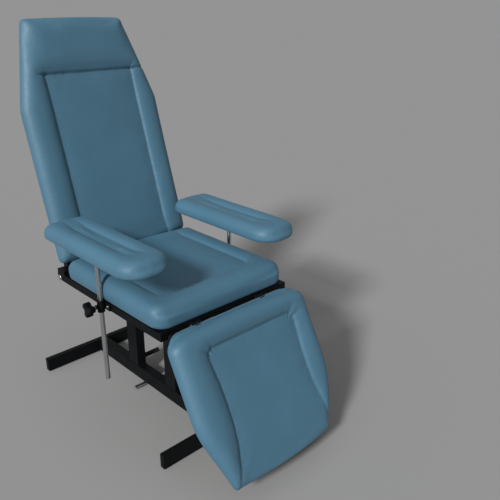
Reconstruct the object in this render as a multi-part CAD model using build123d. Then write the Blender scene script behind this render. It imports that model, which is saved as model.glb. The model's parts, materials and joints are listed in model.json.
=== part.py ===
"""Reclining treatment chair on a welded tube base.

Millimetres. +Z is up, the floor is Z = 0, the sitter faces -Y, and the sitter's right is -X.
The chair is drawn with Y = 0 at the front face of the rear post, and is then moved along Y so that
the origin lies on the floor under the middle of the whole chair.
"""

import math
import os

from build123d import *

# ---- clearances -------------------------------------------------------------------------------
run_gap = 0.05  # radial gap of a pin, bolt or rod in its hole
side_gap = 0.5  # side gap of a moving lug, eye or barrel
soft_gap = 0.3  # gap between foam or plastic and what it fits round
bore_gap = 0.1  # radial gap of a screw in its hole and of a piston in its tube

# ---- base -------------------------------------------------------------------------------------
glide_t = 3.0
glide_l = 40.0
glide_inset = 30.0  # centre of a glide from the tube end
foot_l = 490.0
foot_d = 20.0
foot_h = 50.0
cap_t = 3.0
cap_plug = 15.0
tube_wall = 2.0
beam_w = 35.0
beam_h = 50.0
rear_foot_y = 280.0  # front face of the rear foot
front_foot_y = -457.0  # rear face of the front foot
post_d = 60.0
front_post_y = -174.0  # rear face of the front post

# ---- seat frame -------------------------------------------------------------------------------
frame_top = 492.0
frame_w = 500.0
rail_s = 25.0
rail_front = -502.0
rail_rear = 86.0
cross_h = 16.0
cross_d = 30.0
rear_cross_y = -55.0  # front face of the rear cross tube
spine_h = 30.0
rail_cap_t = 2.5
lug_block_l = 44.0
lug_block_h = 14.0

# ---- boards and cushions ----------------------------------------------------------------------
board_t = 12.0
board_inset = 14.0
seat_board_inset = 8.0
edge_r = 20.0  # rounding of a cushion's upper edge
low_edge_r = 5.0
seat_w = frame_w
seat_front = -494.0
seat_rear = 12.0
seat_t = 66.0
seat_front_r = 45.0
seat_rear_r = 12.0

# ---- back -------------------------------------------------------------------------------------
back_tilt = 17.0  # from vertical, in the stored pose
back_forward = 5.0  # travel towards the sitter
back_recline = 73.0  # travel down to flat
back_pivot_y = 67.0
back_tube_x = 20.0
back_tube_n = 30.0
back_gap_x = 2.0  # washer between rail and back tube
back_start = 54.0  # panel's lower end from the pivot
back_w = frame_w - 4.0
back_l = 786.0
back_straight = 500.0
back_top_w = back_w - 148.0
back_low_r = 16.0
back_bend_r = 90.0
back_top_r = 16.0
back_t = 57.0
back_tube_l = 600.0
back_cross_s = 20.0
back_upper_cross = 575.0
pivot_r = 6.0
pivot_head_r = 10.0
pivot_head_t = 7.0
pivot_nut_t = 9.0

# ---- leg rest ---------------------------------------------------------------------------------
leg_tilt = 28.0  # from vertical, in the stored pose
leg_lower = 10.0  # travel towards vertical
leg_raise = 62.0  # travel up to flat
leg_pivot_gap = 10.0  # pivot in front of the front cross tube
leg_offset = 9.0  # panel's rear face in front of the pivot
leg_top = 7.0  # panel's upper end above the pivot
leg_w = frame_w + 12.0
leg_l = 476.0
leg_straight = 290.0
leg_toe_w = leg_w - 126.0
leg_top_r = 56.0
leg_knee_r = 300.0
leg_toe_r = 16.0
leg_t = 57.0
leg_arm_x = 130.0
leg_arm_w = 20.0
leg_arm_l = 330.0
leg_lug_t = 8.0
leg_lug_r = 8.5
leg_pin_r = 4.0
leg_cross_s = 25.0

# ---- gas springs ------------------------------------------------------------------------------
spring_r = 11.0
spring_wall = 2.0
spring_rod_r = 5.0
spring_eye_r = 9.0
spring_eye_w = 10.0
spring_pin_r = 4.0
spring_start = 16.0  # lower end of the cylinder from its pivot
spring_floor = 3.0
guide_l = 10.0
piston_l = 12.0
cheek_t = 5.0
cheek_r = 11.0
pin_head_t = 3.0
pin_head_r = 6.5
back_spring_reach = 240.0  # from the back pivot to each end of its spring
back_spring_y = 43.0  # lower pin behind the rear post
back_spring_n = 35.0  # upper pin behind the back pivot, square to the panel
leg_spring_reach = 190.0
leg_spring_dy = 167.0  # rear pin behind the leg pivot
leg_spring_n = 30.0

# ---- arm rests --------------------------------------------------------------------------------
arm_rod_r = 7.5
arm_rod_l = 440.0
arm_y = -215.0
sleeve_r = 11.5
sleeve_l = 38.0
clamp_plate_t = 4.0
clamp_plate_l = 64.0
sleeve_bite = 0.5  # how far the sleeve sinks into its plate
boss_r = 7.0
boss_l = 6.0
clamp_bolt_dy = 22.0
clamp_bolt_r = 3.0
knob_screw_r = 4.0
knob_gap = 12.5  # bright length of screw between boss and knob
knob_t = 22.0
knob_hub_r = 13.0
knob_lobe_r = 10.5
knob_lobe_at = 14.5
knob_lobes = 3
knob_turn = 17.0  # first lobe, from -Y towards +Z
pad_w = 162.0
pad_l = 496.0
pad_t = 48.0
pad_rear = 0.0
pad_in = 13.0  # pad's middle inward of its rod
pad_rear_r = 38.0
pad_nose_r = 70.0
pad_board_t = 10.0
pad_board_inset = 12.0
right_arm_z = 662.0  # underside of the right pad
left_arm_z = 634.0
hub_r = 12.0
hub_l = 26.0
mount_t = 4.0
mount_w = 60.0
mount_l = 130.0
fin_t = 4.0
fin_l = 40.0

# ---- foot pedal -------------------------------------------------------------------------------
pedal_r = 6.0
pedal_y = -57.0
pedal_z = 12.5
pedal_near = -78.0
pedal_far = 140.0
pedal_rise = 55.5
pedal_back = 87.0
pedal_bend = 20.0
grip_start = 28.0
grip_l = 70.0
grip_r = 9.0
grip_cap = 5.0
bush_r = 7.2
bush_flange_r = 9.0
bush_flange_t = 1.5

# ---- screws -----------------------------------------------------------------------------------
screw_r = 2.5
screw_head_r = 5.0
screw_head_t = 3.0
screw_bite = 9.0

# ---- derived places ---------------------------------------------------------------------------
low = glide_t
beam_top = low + beam_h
cross_low = frame_top - cross_h
spine_low = cross_low - spine_h
rail_low = frame_top - rail_s
rail_out = frame_w / 2
rail_in = rail_out - rail_s
rail_mid_z = frame_top - rail_s / 2
back_pivot = (back_pivot_y, rail_mid_z - 0.5)
leg_pivot = (rail_front - leg_pivot_gap, frame_top - leg_pivot_gap)
back_tube_out = rail_in - back_gap_x
back_tube_in = back_tube_out - back_tube_x
back_plane = back_tube_n / 2
clamp_z = frame_top - rail_s / 2
arm_x = rail_out + clamp_plate_t + sleeve_r - sleeve_bite
pad_x = arm_x - pad_in


def turned(tilt):
    """Directions of a panel at this tilt from vertical: up along it, and out of its front."""
    t = math.radians(tilt)
    return (math.sin(t), math.cos(t)), (-math.cos(t), math.sin(t))


def on_panel(pivot, tilt, s, n):
    """Y and Z of a point s up a panel from its pivot and n out of its front."""
    up, out = turned(tilt)
    return pivot[0] + s * up[0] + n * out[0], pivot[1] + s * up[1] + n * out[1]


toe_y = on_panel(leg_pivot, leg_tilt, leg_top - leg_l, leg_offset + leg_t)[0]
head_y = on_panel(back_pivot, back_tilt, back_start + back_l, back_plane)[0]
chair_rear = max(rear_foot_y + foot_d, head_y)
middle_y = (toe_y + chair_rear) / 2
place = Pos(0, -middle_y, 0)


def block(x0, x1, y0, y1, z0, z1):
    """Box between two corners."""
    size = (x1 - x0, y1 - y0, z1 - z0)
    return Pos((x0 + x1) / 2, (y0 + y1) / 2, (z0 + z1) / 2) * Box(*size)


def rod_x(r, x0, x1, y, z):
    """Cylinder along X."""
    return Pos((x0 + x1) / 2, y, z) * Rot(0, 90, 0) * Cylinder(r, x1 - x0)


def rod_z(r, z0, z1, x, y):
    """Cylinder along Z."""
    return Pos(x, y, (z0 + z1) / 2) * Cylinder(r, z1 - z0)


def box_tube(x0, x1, y0, y1, z0, z1, along):
    """Rectangular tube, open at both ends of the axis named."""
    w = tube_wall
    k = {a: (0 if a == along else w) for a in "XYZ"}
    inner = block(x0 + k["X"], x1 - k["X"], y0 + k["Y"], y1 - k["Y"], z0 + k["Z"], z1 - k["Z"])
    return block(x0, x1, y0, y1, z0, z1) - inner


def rounded(points, radii):
    """Face of a polygon in XY whose corners are rounded, each by its own radius."""
    count = len(points)
    ends = []
    for i in range(count):
        here = Vector(*points[i])
        before = (Vector(*points[i - 1]) - here).normalized()
        after = (Vector(*points[(i + 1) % count]) - here).normalized()
        half = math.acos(max(-1.0, min(1.0, before.dot(after)))) / 2
        reach = radii[i] / math.tan(half)
        centre = here + (before + after).normalized() * (radii[i] / math.sin(half))
        middle = centre + (here - centre).normalized() * radii[i]
        ends.append((here + before * reach, middle, here + after * reach))
    edges = []
    for i in range(count):
        start, middle, end = ends[i]
        edges.append(ThreePointArc(start, middle, end))
        follow = ends[(i + 1) % count][0]
        if (follow - end).length > 1e-6:
            edges.append(Line(end, follow))
    return make_face(edges)


def cushion(face, thickness, board, inset, upper_r):
    """Pad on the XY plane with rounded edges and a pocket below for its board."""
    pad = extrude(face, amount=thickness)
    pad = fillet(pad.faces().sort_by(Axis.Z)[-1].edges(), upper_r)
    pad = fillet(pad.faces().sort_by(Axis.Z)[0].edges(), low_edge_r)
    pocket = offset(face, amount=-(inset - soft_gap), kind=Kind.INTERSECTION)
    return pad - extrude(pocket, amount=board)


def board(face, thickness, inset):
    """Plywood board that fills a cushion's pocket."""
    return extrude(offset(face, amount=-inset, kind=Kind.INTERSECTION), amount=thickness)


def panel_plane(pivot, tilt, n):
    """Plane n in front of a pivot: X across, Y up the panel, Z out of its front."""
    y, z = on_panel(pivot, tilt, 0, n)
    out = turned(tilt)[1]
    return Plane(origin=(0, y, z), x_dir=(1, 0, 0), z_dir=(0, out[0], out[1])).location


def mirrored(shape):
    """Copy on the other side of the chair."""
    return mirror(shape, about=Plane.YZ)


parts = {}
in_yz = Plane.YZ.location  # drawing X becomes Y, drawing Y becomes Z, and it rises along X

# ---- base: feet, beam, posts --------------------------------------------------------------------
half_foot = foot_l / 2
rear_foot_mid = rear_foot_y + foot_d / 2
front_foot_mid = front_foot_y - foot_d / 2


def foot(mid):
    """Foot tube across the chair."""
    y0, y1 = mid - foot_d / 2, mid + foot_d / 2
    return box_tube(-half_foot, half_foot, y0, y1, low, low + foot_h, "X")


def foot_cap(mid, side):
    """Plastic plug that closes a foot tube."""
    inner = tube_wall + soft_gap
    y0, y1 = mid - foot_d / 2, mid + foot_d / 2
    flange = block(half_foot, half_foot + cap_t, y0, y1, low, low + foot_h)
    flange = fillet(flange.faces().sort_by(Axis.X)[-1].edges(), cap_t * 0.6)
    plug = block(half_foot - cap_plug, half_foot, y0 + inner, y1 - inner,
                 low + inner, low + foot_h - inner)
    cap = flange + plug
    return cap if side > 0 else mirrored(cap)


foot_mids = (rear_foot_mid, front_foot_mid)
parts["rear_foot"] = foot(rear_foot_mid)
parts["front_foot"] = foot(front_foot_mid)
foot_caps = [foot_cap(mid, side) for mid in foot_mids for side in (-1, 1)]
glide_x = half_foot - glide_inset
parts["floor_glides"] = [
    block(side * glide_x - glide_l / 2, side * glide_x + glide_l / 2,
          mid - foot_d / 2 + 2, mid + foot_d / 2 - 2, 0, glide_t)
    for mid in foot_mids for side in (-1, 1)
]

half_beam = beam_w / 2
beam = box_tube(-half_beam, half_beam, front_foot_y, rear_foot_y, low, beam_top, "Y")
beam -= rod_x(bush_r + run_gap, -half_beam - 1, half_beam + 1, pedal_y, pedal_z)
parts["base_beam"] = beam
parts["rear_post"] = box_tube(-half_beam, half_beam, 0, post_d, beam_top, spine_low, "Z")
parts["front_post"] = box_tube(-half_beam, half_beam, front_post_y - post_d, front_post_y,
                               beam_top, spine_low, "Z")

# ---- seat frame ---------------------------------------------------------------------------------
front_cross_rear = rail_front + cross_d
rear_cross_rear = rear_cross_y + cross_d
screw_x = 100.0
screw_rows = (front_cross_rear - 7, rear_cross_y + cross_d / 2)


def seat_screw(x, y, gap):
    """Screw that comes up through a cross tube into the seat board."""
    shank = rod_z(screw_r + gap, cross_low, frame_top + screw_bite, x, y)
    if gap:
        return shank
    return shank + rod_z(screw_head_r, cross_low - screw_head_t, cross_low, x, y)


seat_screws = [(side * screw_x, y) for y in screw_rows for side in (-1, 1)]
spine_front = rail_front + 4
spine = box_tube(-half_beam, half_beam, spine_front, post_d, spine_low, cross_low, "Y")
parts["seat_spine"] = spine
front_cross = box_tube(-rail_in, rail_in, rail_front, front_cross_rear, cross_low, frame_top, "X")
rear_cross = box_tube(-rail_in, rail_in, rear_cross_y, rear_cross_rear, cross_low, frame_top, "X")
for x, y in seat_screws:
    front_cross -= seat_screw(x, y, bore_gap)
    rear_cross -= seat_screw(x, y, bore_gap)
parts["front_cross_tube"] = front_cross
parts["rear_cross_tube"] = rear_cross
parts["seat_board_screws"] = [seat_screw(x, y, 0) for x, y in seat_screws]

rail = box_tube(rail_in, rail_out, rail_front, rail_rear, rail_low, frame_top, "Y")
rail += block(rail_in, rail_out, rail_rear - lug_block_l, rail_rear,
              frame_top, frame_top + lug_block_h)
rail -= rod_x(pivot_r + run_gap, rail_in - 1, rail_out + 1, *back_pivot)
for dy in (-clamp_bolt_dy, clamp_bolt_dy):
    rail -= rod_x(clamp_bolt_r + run_gap, rail_out - tube_wall - 1, rail_out + 1,
                  arm_y + dy, clamp_z)
parts["seat_rail_left"] = rail
parts["seat_rail_right"] = mirrored(rail)


def tube_cap(x0, x1, y, side, z0, z1):
    """Plastic plug in the end of a tube along Y; side is the way it faces."""
    inner = tube_wall + soft_gap
    out_y = y + side * rail_cap_t
    in_y = y - side * cap_plug
    flange = block(x0, x1, min(y, out_y), max(y, out_y), z0, z1)
    plug = block(x0 + inner, x1 - inner, min(y, in_y), max(y, in_y), z0 + inner, z1 - inner)
    return flange + plug


front_cap = tube_cap(rail_in, rail_out, rail_front, -1, rail_low, frame_top)
spine_caps = [tube_cap(-half_beam, half_beam, y, side, spine_low, cross_low)
              for y, side in ((spine_front, -1), (post_d, 1))]
rear_cap = block(rail_in, rail_out, rail_rear, rail_rear + rail_cap_t, rail_low, frame_top)
rail_caps = [front_cap, mirrored(front_cap), rear_cap, mirrored(rear_cap)]
parts["tube_end_caps"] = foot_caps + rail_caps + spine_caps

# ---- pivot bolts of the back --------------------------------------------------------------------
nut_out = back_tube_in - side_gap
head = rod_x(pivot_head_r, rail_out, rail_out + pivot_head_t, *back_pivot)
head = fillet(head.faces().sort_by(Axis.X)[-1].edges(), 3)
bolt = head + rod_x(pivot_r, nut_out - pivot_nut_t - 3, rail_out, *back_pivot)
nut_shape = RegularPolygon(radius=pivot_head_r, side_count=6)
nut = Pos(nut_out - pivot_nut_t, *back_pivot) * Rot(0, 90, 0) * extrude(nut_shape, amount=pivot_nut_t)
nut -= rod_x(pivot_r + run_gap, nut_out - pivot_nut_t - 1, nut_out + 1, *back_pivot)
washer = rod_x(pivot_head_r, back_tube_out + 0.2, rail_in, *back_pivot)
washer -= rod_x(pivot_r + run_gap, back_tube_out, rail_in + 1, *back_pivot)
pivot_set = [bolt, nut, washer]
parts["back_pivot_bolts"] = pivot_set + [mirrored(piece) for piece in pivot_set]

# ---- seat board and cushion ---------------------------------------------------------------------
seat_points = [(-seat_w / 2, seat_front), (seat_w / 2, seat_front),
               (seat_w / 2, seat_rear), (-seat_w / 2, seat_rear)]
seat_face = rounded(seat_points, [seat_front_r, seat_front_r, seat_rear_r, seat_rear_r])
seat_board = Pos(0, 0, frame_top) * board(seat_face, board_t, seat_board_inset)
for x, y in seat_screws:
    seat_board -= seat_screw(x, y, bore_gap)
parts["seat_board"] = seat_board
parts["seat_cushion"] = Pos(0, 0, frame_top) * cushion(
    seat_face, seat_t, board_t, seat_board_inset, edge_r)

# ---- gas spring ends ----------------------------------------------------------------------------
eye_side = spring_eye_w / 2
cheek_in = eye_side + side_gap
cheek_out = cheek_in + cheek_t


def spring_pin(y, z):
    """Headed pivot pin of a gas spring end."""
    shank = rod_x(spring_pin_r, -cheek_out - 1.5, cheek_out, y, z)
    return shank + rod_x(pin_head_r, cheek_out, cheek_out + pin_head_t, y, z)


def cheeks(face):
    """Pair of plates either side of a spring eye, cut from a face drawn in YZ."""
    plate = extrude(face, amount=cheek_t)
    return Pos(cheek_in, 0, 0) * plate + Pos(-cheek_out, 0, 0) * plate


def pin_hole(y, z):
    """Cutter for a spring pin's hole."""
    return rod_x(spring_pin_r + run_gap, -cheek_out - 5, cheek_out + 5, y, z)


def yz_block(y0, y1, z0, z1):
    """Rectangle in the YZ plane."""
    return Pos(0, (y0 + y1) / 2, (z0 + z1) / 2) * in_yz * Rectangle(y1 - y0, z1 - z0)


def yz_disc(r, y, z):
    """Disc in the YZ plane."""
    return Pos(0, y, z) * in_yz * Circle(r)


def gap_of(reach, first, second):
    """Length of a spring between two points the same reach from a pivot."""
    turn = math.acos(sum(a * b for a, b in zip(first, second)) / reach ** 2)
    return turn, 2 * reach * math.sin(turn / 2)


# The two ends of each spring lie the same distance from its panel's pivot, so both ends turn
# half as fast as the panel and the spring stays straight in every pose.
back_dy = post_d + back_spring_y - back_pivot[0]
back_low_pin = (back_pivot[0] + back_dy,
                back_pivot[1] - math.sqrt(back_spring_reach ** 2 - back_dy ** 2))
back_spring_s = math.sqrt(back_spring_reach ** 2 - back_spring_n ** 2)
back_high_pin = on_panel(back_pivot, back_tilt, back_spring_s, -back_spring_n)
leg_rear_pin = (leg_pivot[0] + leg_spring_dy,
                leg_pivot[1] - math.sqrt(leg_spring_reach ** 2 - leg_spring_dy ** 2))
leg_spring_s = math.sqrt(leg_spring_reach ** 2 - leg_spring_n ** 2)
leg_front_pin = on_panel(leg_pivot, leg_tilt, -leg_spring_s, -leg_spring_n)


def spring_range(pivot, reach, fixed, moving, tighter, wider):
    """Shortest and longest length of a spring over its panel's travel, in degrees."""
    a = (fixed[0] - pivot[0], fixed[1] - pivot[1])
    b = (moving[0] - pivot[0], moving[1] - pivot[1])
    turn = gap_of(reach, a, b)[0]
    shortest = 2 * reach * math.sin((turn - math.radians(tighter)) / 2)
    longest = 2 * reach * math.sin((turn + math.radians(wider)) / 2)
    return shortest, longest


back_short, back_long = spring_range(
    back_pivot, back_spring_reach, back_low_pin, back_high_pin, back_recline, back_forward)
leg_short, leg_long = spring_range(
    leg_pivot, leg_spring_reach, leg_rear_pin, leg_front_pin, leg_lower, leg_raise)


def spring_frame(fixed, moving):
    """Location whose Z runs from a spring's fixed pin to its moving pin."""
    line = (0, moving[0] - fixed[0], moving[1] - fixed[1])
    return Plane(origin=(0, fixed[0], fixed[1]), x_dir=(1, 0, 0), z_dir=line).location


def make_spring(fixed, moving, shortest):
    """Cylinder, end guide and rod with piston, in the stored pose."""
    length = math.dist(fixed, moving)
    top = shortest - 2 * spring_eye_r
    base = spring_start + spring_floor
    neck_r = eye_side - 0.5
    inner_r = spring_r - spring_wall
    eye = rod_x(spring_eye_r, -eye_side, eye_side, 0, 0)
    hole = rod_x(spring_pin_r + run_gap, -eye_side - 1, eye_side + 1, 0, 0)
    cylinder = rod_z(spring_r, spring_start, top - guide_l, 0, 0)
    cylinder -= rod_z(inner_r, base, top, 0, 0)
    cylinder += rod_z(neck_r, 0, spring_start + 1, 0, 0) + eye
    cylinder -= hole
    guide = rod_z(spring_r, top - guide_l, top, 0, 0)
    guide = fillet(guide.faces().sort_by(Axis.Z)[-1].edges(), 2)
    guide -= rod_z(spring_rod_r + run_gap, top - guide_l - 1, top + 1, 0, 0)
    start = length - shortest + base + 4
    rod = rod_z(spring_rod_r, start + piston_l, length - spring_eye_r / 2, 0, 0)
    rod += rod_z(inner_r - bore_gap, start, start + piston_l, 0, 0)
    rod += Pos(0, 0, length) * eye
    rod -= Pos(0, 0, length) * hole
    frame = spring_frame(fixed, moving)
    return frame * cylinder, frame * guide, frame * rod


springs = {"back": (back_low_pin, back_high_pin, back_short),
           "leg": (leg_rear_pin, leg_front_pin, leg_short)}
for name, ends in springs.items():
    cylinder, guide, rod = make_spring(*ends)
    parts[name + "_spring_cylinder"] = cylinder
    parts[name + "_spring_guide"] = guide
    parts[name + "_spring_rod"] = rod

# ---- spring brackets on the base ----------------------------------------------------------------
fillet_r = 28.0
gusset_l = 16.0
gusset_h = 26.0
ly, lz = back_low_pin
cheek_face = yz_block(post_d, ly, lz - cheek_r, lz + cheek_r) + yz_disc(cheek_r, ly, lz)
gusset = Polygon((post_d, lz + cheek_r + gusset_h), (post_d, lz),
                 (post_d + cheek_t + gusset_l, lz), (post_d + cheek_t + gusset_l, lz + cheek_r),
                 align=None)
cheek_face += in_yz * gusset
web_face = yz_block(post_d, post_d + fillet_r, lz - cheek_r - fillet_r, lz - cheek_r)
web_face -= yz_disc(fillet_r, post_d + fillet_r, lz - cheek_r - fillet_r)
bracket = cheeks(cheek_face) + Pos(-cheek_out, 0, 0) * extrude(web_face, amount=2 * cheek_out)
bracket += block(-cheek_out, cheek_out, post_d, post_d + cheek_t, lz - cheek_r, lz + cheek_r + gusset_h)
parts["back_spring_bracket"] = bracket - pin_hole(ly, lz)

hy, hz = leg_rear_pin
hanger_l = 60.0
hanger_t = 4.0
hanger_face = yz_block(hy - cheek_r, hy + cheek_r, hz, spine_low) + yz_disc(cheek_r, hy, hz)
hanger = cheeks(hanger_face)
hanger += block(-half_beam, half_beam, hy - hanger_l / 2, hy + hanger_l / 2,
                spine_low - hanger_t, spine_low)
parts["leg_spring_bracket"] = hanger - pin_hole(hy, hz)
parts["spring_base_pins"] = [spring_pin(ly, lz), spring_pin(hy, hz)]

# ---- back frame ---------------------------------------------------------------------------------
back_at = panel_plane(back_pivot, back_tilt, 0)
half_n = back_tube_n / 2
back_screw_s = (150.0, 350.0, 560.0)


def back_screw(x, s, gap):
    """Screw from behind a side tube into the back board."""
    shank = rod_z(screw_r + gap, -half_n, half_n + screw_bite, x, s)
    if gap:
        return shank
    return shank + rod_z(screw_head_r, -half_n - screw_head_t, -half_n, x, s)


tube_mid_x = (back_tube_in + back_tube_out) / 2
side_tube = box_tube(back_tube_in, back_tube_out, 0, back_tube_l, -half_n, half_n, "Y")
side_tube += rod_x(half_n, back_tube_in, back_tube_out, 0, 0)
side_tube -= rod_x(pivot_r + run_gap, back_tube_in - 1, back_tube_out + 1, 0, 0)
for s in back_screw_s:
    side_tube -= back_screw(tube_mid_x, s, bore_gap)
parts["back_side_tube_left"] = back_at * side_tube
parts["back_side_tube_right"] = back_at * mirrored(side_tube)


def back_cross(mid):
    """Cross tube between the side tubes, centred mid up the panel."""
    half = back_cross_s / 2
    return box_tube(-back_tube_in, back_tube_in, mid - half, mid + half, -half_n, half_n, "X")


ear_face = yz_block(back_spring_s - cheek_r, back_spring_s + cheek_r, -back_spring_n, -half_n)
ear_face += yz_disc(cheek_r, back_spring_s, -back_spring_n)
lower_cross = back_cross(back_spring_s) + cheeks(ear_face)
lower_cross -= pin_hole(back_spring_s, -back_spring_n)
parts["back_lower_cross_tube"] = back_at * lower_cross
parts["back_upper_cross_tube"] = back_at * back_cross(back_upper_cross)
parts["back_spring_pin"] = back_at * spring_pin(back_spring_s, -back_spring_n)
back_screws = [(side * tube_mid_x, s) for s in back_screw_s for side in (-1, 1)]
parts["back_board_screws"] = [back_at * back_screw(x, s, 0) for x, s in back_screws]

back_end = back_start + back_l
back_points = [(-back_w / 2, back_start), (back_w / 2, back_start),
               (back_w / 2, back_start + back_straight), (back_top_w / 2, back_end),
               (-back_top_w / 2, back_end), (-back_w / 2, back_start + back_straight)]
back_radii = [back_bend_r, back_top_r]
back_face = rounded(back_points, [back_low_r] * 2 + back_radii + back_radii[::-1])
back_board_at = back_at * Pos(0, 0, half_n)
back_board = board(back_face, board_t, board_inset)
for x, s in back_screws:
    back_board -= Pos(0, 0, -half_n) * back_screw(x, s, bore_gap)
parts["back_board"] = back_board_at * back_board
parts["backrest_cushion"] = back_board_at * cushion(
    back_face, back_t, board_t, board_inset, edge_r)

# ---- leg rest -----------------------------------------------------------------------------------
leg_at = panel_plane(leg_pivot, leg_tilt, 0)
leg_screw_s = (-70.0, -280.0)
arm_in = leg_arm_x - leg_arm_w / 2
arm_out = leg_arm_x + leg_arm_w / 2


def leg_screw(x, s, gap):
    """Screw from behind a hinge arm into the leg board."""
    shank = rod_z(screw_r + gap, -leg_offset, leg_offset + screw_bite, x, s)
    if gap:
        return shank
    return shank + rod_z(screw_head_r, -leg_offset - screw_head_t, -leg_offset, x, s)


leg_arm = block(arm_in, arm_out, -leg_arm_l, 0, -leg_offset, leg_offset)
leg_arm += rod_x(leg_offset, arm_in, arm_out, 0, 0)
leg_arm -= rod_x(leg_pin_r + run_gap, arm_in - 1, arm_out + 1, 0, 0)
for s in leg_screw_s:
    leg_arm -= leg_screw(leg_arm_x, s, bore_gap)
parts["leg_arm_left"] = leg_at * leg_arm
parts["leg_arm_right"] = leg_at * mirrored(leg_arm)
leg_screws = [(side * leg_arm_x, s) for s in leg_screw_s for side in (-1, 1)]
parts["leg_board_screws"] = [leg_at * leg_screw(x, s, 0) for x, s in leg_screws]

half_s = leg_cross_s / 2
leg_cross = box_tube(-arm_in, arm_in, -leg_spring_s - half_s, -leg_spring_s + half_s,
                     -leg_offset, leg_offset, "X")
ear_face = yz_block(-leg_spring_s - cheek_r, -leg_spring_s + cheek_r, -leg_spring_n, -leg_offset)
ear_face += yz_disc(cheek_r, -leg_spring_s, -leg_spring_n)
leg_cross += cheeks(ear_face)
leg_cross -= pin_hole(-leg_spring_s, -leg_spring_n)
parts["leg_cross_bar"] = leg_at * leg_cross
parts["leg_spring_pin"] = leg_at * spring_pin(-leg_spring_s, -leg_spring_n)

leg_end = leg_top - leg_l
leg_knee = leg_top - leg_straight
leg_points = [(-leg_w / 2, leg_top), (-leg_w / 2, leg_knee), (-leg_toe_w / 2, leg_end),
              (leg_toe_w / 2, leg_end), (leg_w / 2, leg_knee), (leg_w / 2, leg_top)]
leg_radii = [leg_top_r, leg_knee_r, leg_toe_r]
leg_face = rounded(leg_points, leg_radii + leg_radii[::-1])
leg_board_at = leg_at * Pos(0, 0, leg_offset)
leg_board = board(leg_face, board_t, board_inset)
for x, s in leg_screws:
    leg_board -= Pos(0, 0, -leg_offset) * leg_screw(x, s, bore_gap)
parts["leg_board"] = leg_board_at * leg_board
parts["leg_rest_cushion"] = leg_board_at * cushion(
    leg_face, leg_t, board_t, board_inset, edge_r)

# ---- hinge lugs and pins of the leg rest --------------------------------------------------------
py, pz = leg_pivot
lug_face = yz_block(py, rail_front, pz - leg_lug_r, pz + leg_lug_r) + yz_disc(leg_lug_r, py, pz)
lug_plate = extrude(lug_face, amount=leg_lug_t)
lug_plate -= rod_x(leg_pin_r + run_gap, -1, leg_lug_t + 1, py, pz)
lug_x = [arm_out + side_gap, arm_in - side_gap - leg_lug_t]
lugs = [Pos(x, 0, 0) * lug_plate for x in lug_x]
parts["leg_hinge_lugs"] = lugs + [mirrored(lug) for lug in lugs]
pin_end = lug_x[0] + leg_lug_t
hinge_pin = rod_x(leg_pin_r, lug_x[1] - 2, pin_end, py, pz)
hinge_pin += rod_x(pin_head_r, pin_end, pin_end + pin_head_t, py, pz)
parts["leg_hinge_pins"] = [hinge_pin, mirrored(hinge_pin)]

# ---- arm clamps ---------------------------------------------------------------------------------
half_sleeve = sleeve_l / 2
boss_end = arm_x + sleeve_r + boss_l
clamp = block(rail_out, rail_out + clamp_plate_t, arm_y - clamp_plate_l / 2,
              arm_y + clamp_plate_l / 2, rail_low, frame_top)
clamp += rod_z(sleeve_r, clamp_z - half_sleeve, clamp_z + half_sleeve, arm_x, arm_y)
clamp += rod_x(boss_r, arm_x, boss_end, arm_y, clamp_z)
clamp -= rod_z(arm_rod_r + run_gap, clamp_z - sleeve_l, clamp_z + sleeve_l, arm_x, arm_y)
clamp -= rod_x(knob_screw_r + run_gap, arm_x, boss_end + 1, arm_y, clamp_z)
for dy in (-clamp_bolt_dy, clamp_bolt_dy):
    clamp -= rod_x(clamp_bolt_r + run_gap, rail_out - 1, rail_out + clamp_plate_t + 1,
                   arm_y + dy, clamp_z)
parts["left_arm_clamp"] = clamp
parts["right_arm_clamp"] = mirrored(clamp)

bolt_out = rail_out + clamp_plate_t
clamp_bolts = []
for dy in (-clamp_bolt_dy, clamp_bolt_dy):
    head = rod_x(5.5, bolt_out, bolt_out + 4, arm_y + dy, clamp_z)
    head = fillet(head.faces().sort_by(Axis.X)[-1].edges(), 1.5)
    clamp_bolts.append(head + rod_x(clamp_bolt_r, rail_out - 8, bolt_out, arm_y + dy, clamp_z))
parts["arm_clamp_bolts"] = clamp_bolts + [mirrored(piece) for piece in clamp_bolts]

# ---- knobs on their screws ----------------------------------------------------------------------
knob_in = boss_end + knob_gap
knob_out = knob_in + knob_t
screw_tip = arm_x + arm_rod_r + soft_gap
screw_end = knob_in + knob_t / 2
knob_screw = rod_x(knob_screw_r, screw_tip, screw_end, arm_y, clamp_z)
knob_face = Circle(knob_hub_r)
for lobe in range(knob_lobes):
    turn = math.radians(knob_turn + lobe * 360 / knob_lobes)
    lobe_y, lobe_z = -knob_lobe_at * math.cos(turn), knob_lobe_at * math.sin(turn)
    knob_face += Pos(lobe_y, lobe_z) * Circle(knob_lobe_r)
knob = extrude(knob_face, amount=knob_t)
knob = fillet(knob.faces().sort_by(Axis.Z)[-1].edges(), 4)
knob = fillet(knob.faces().sort_by(Axis.Z)[0].edges(), 3)
knob = Pos(knob_in, arm_y, clamp_z) * in_yz * knob
knob -= rod_x(knob_screw_r + run_gap, knob_in - 1, screw_end, arm_y, clamp_z)
parts["left_knob"] = knob
parts["right_knob"] = mirrored(knob)
parts["left_knob_screw"] = knob_screw
parts["right_knob_screw"] = mirrored(knob_screw)


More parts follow.
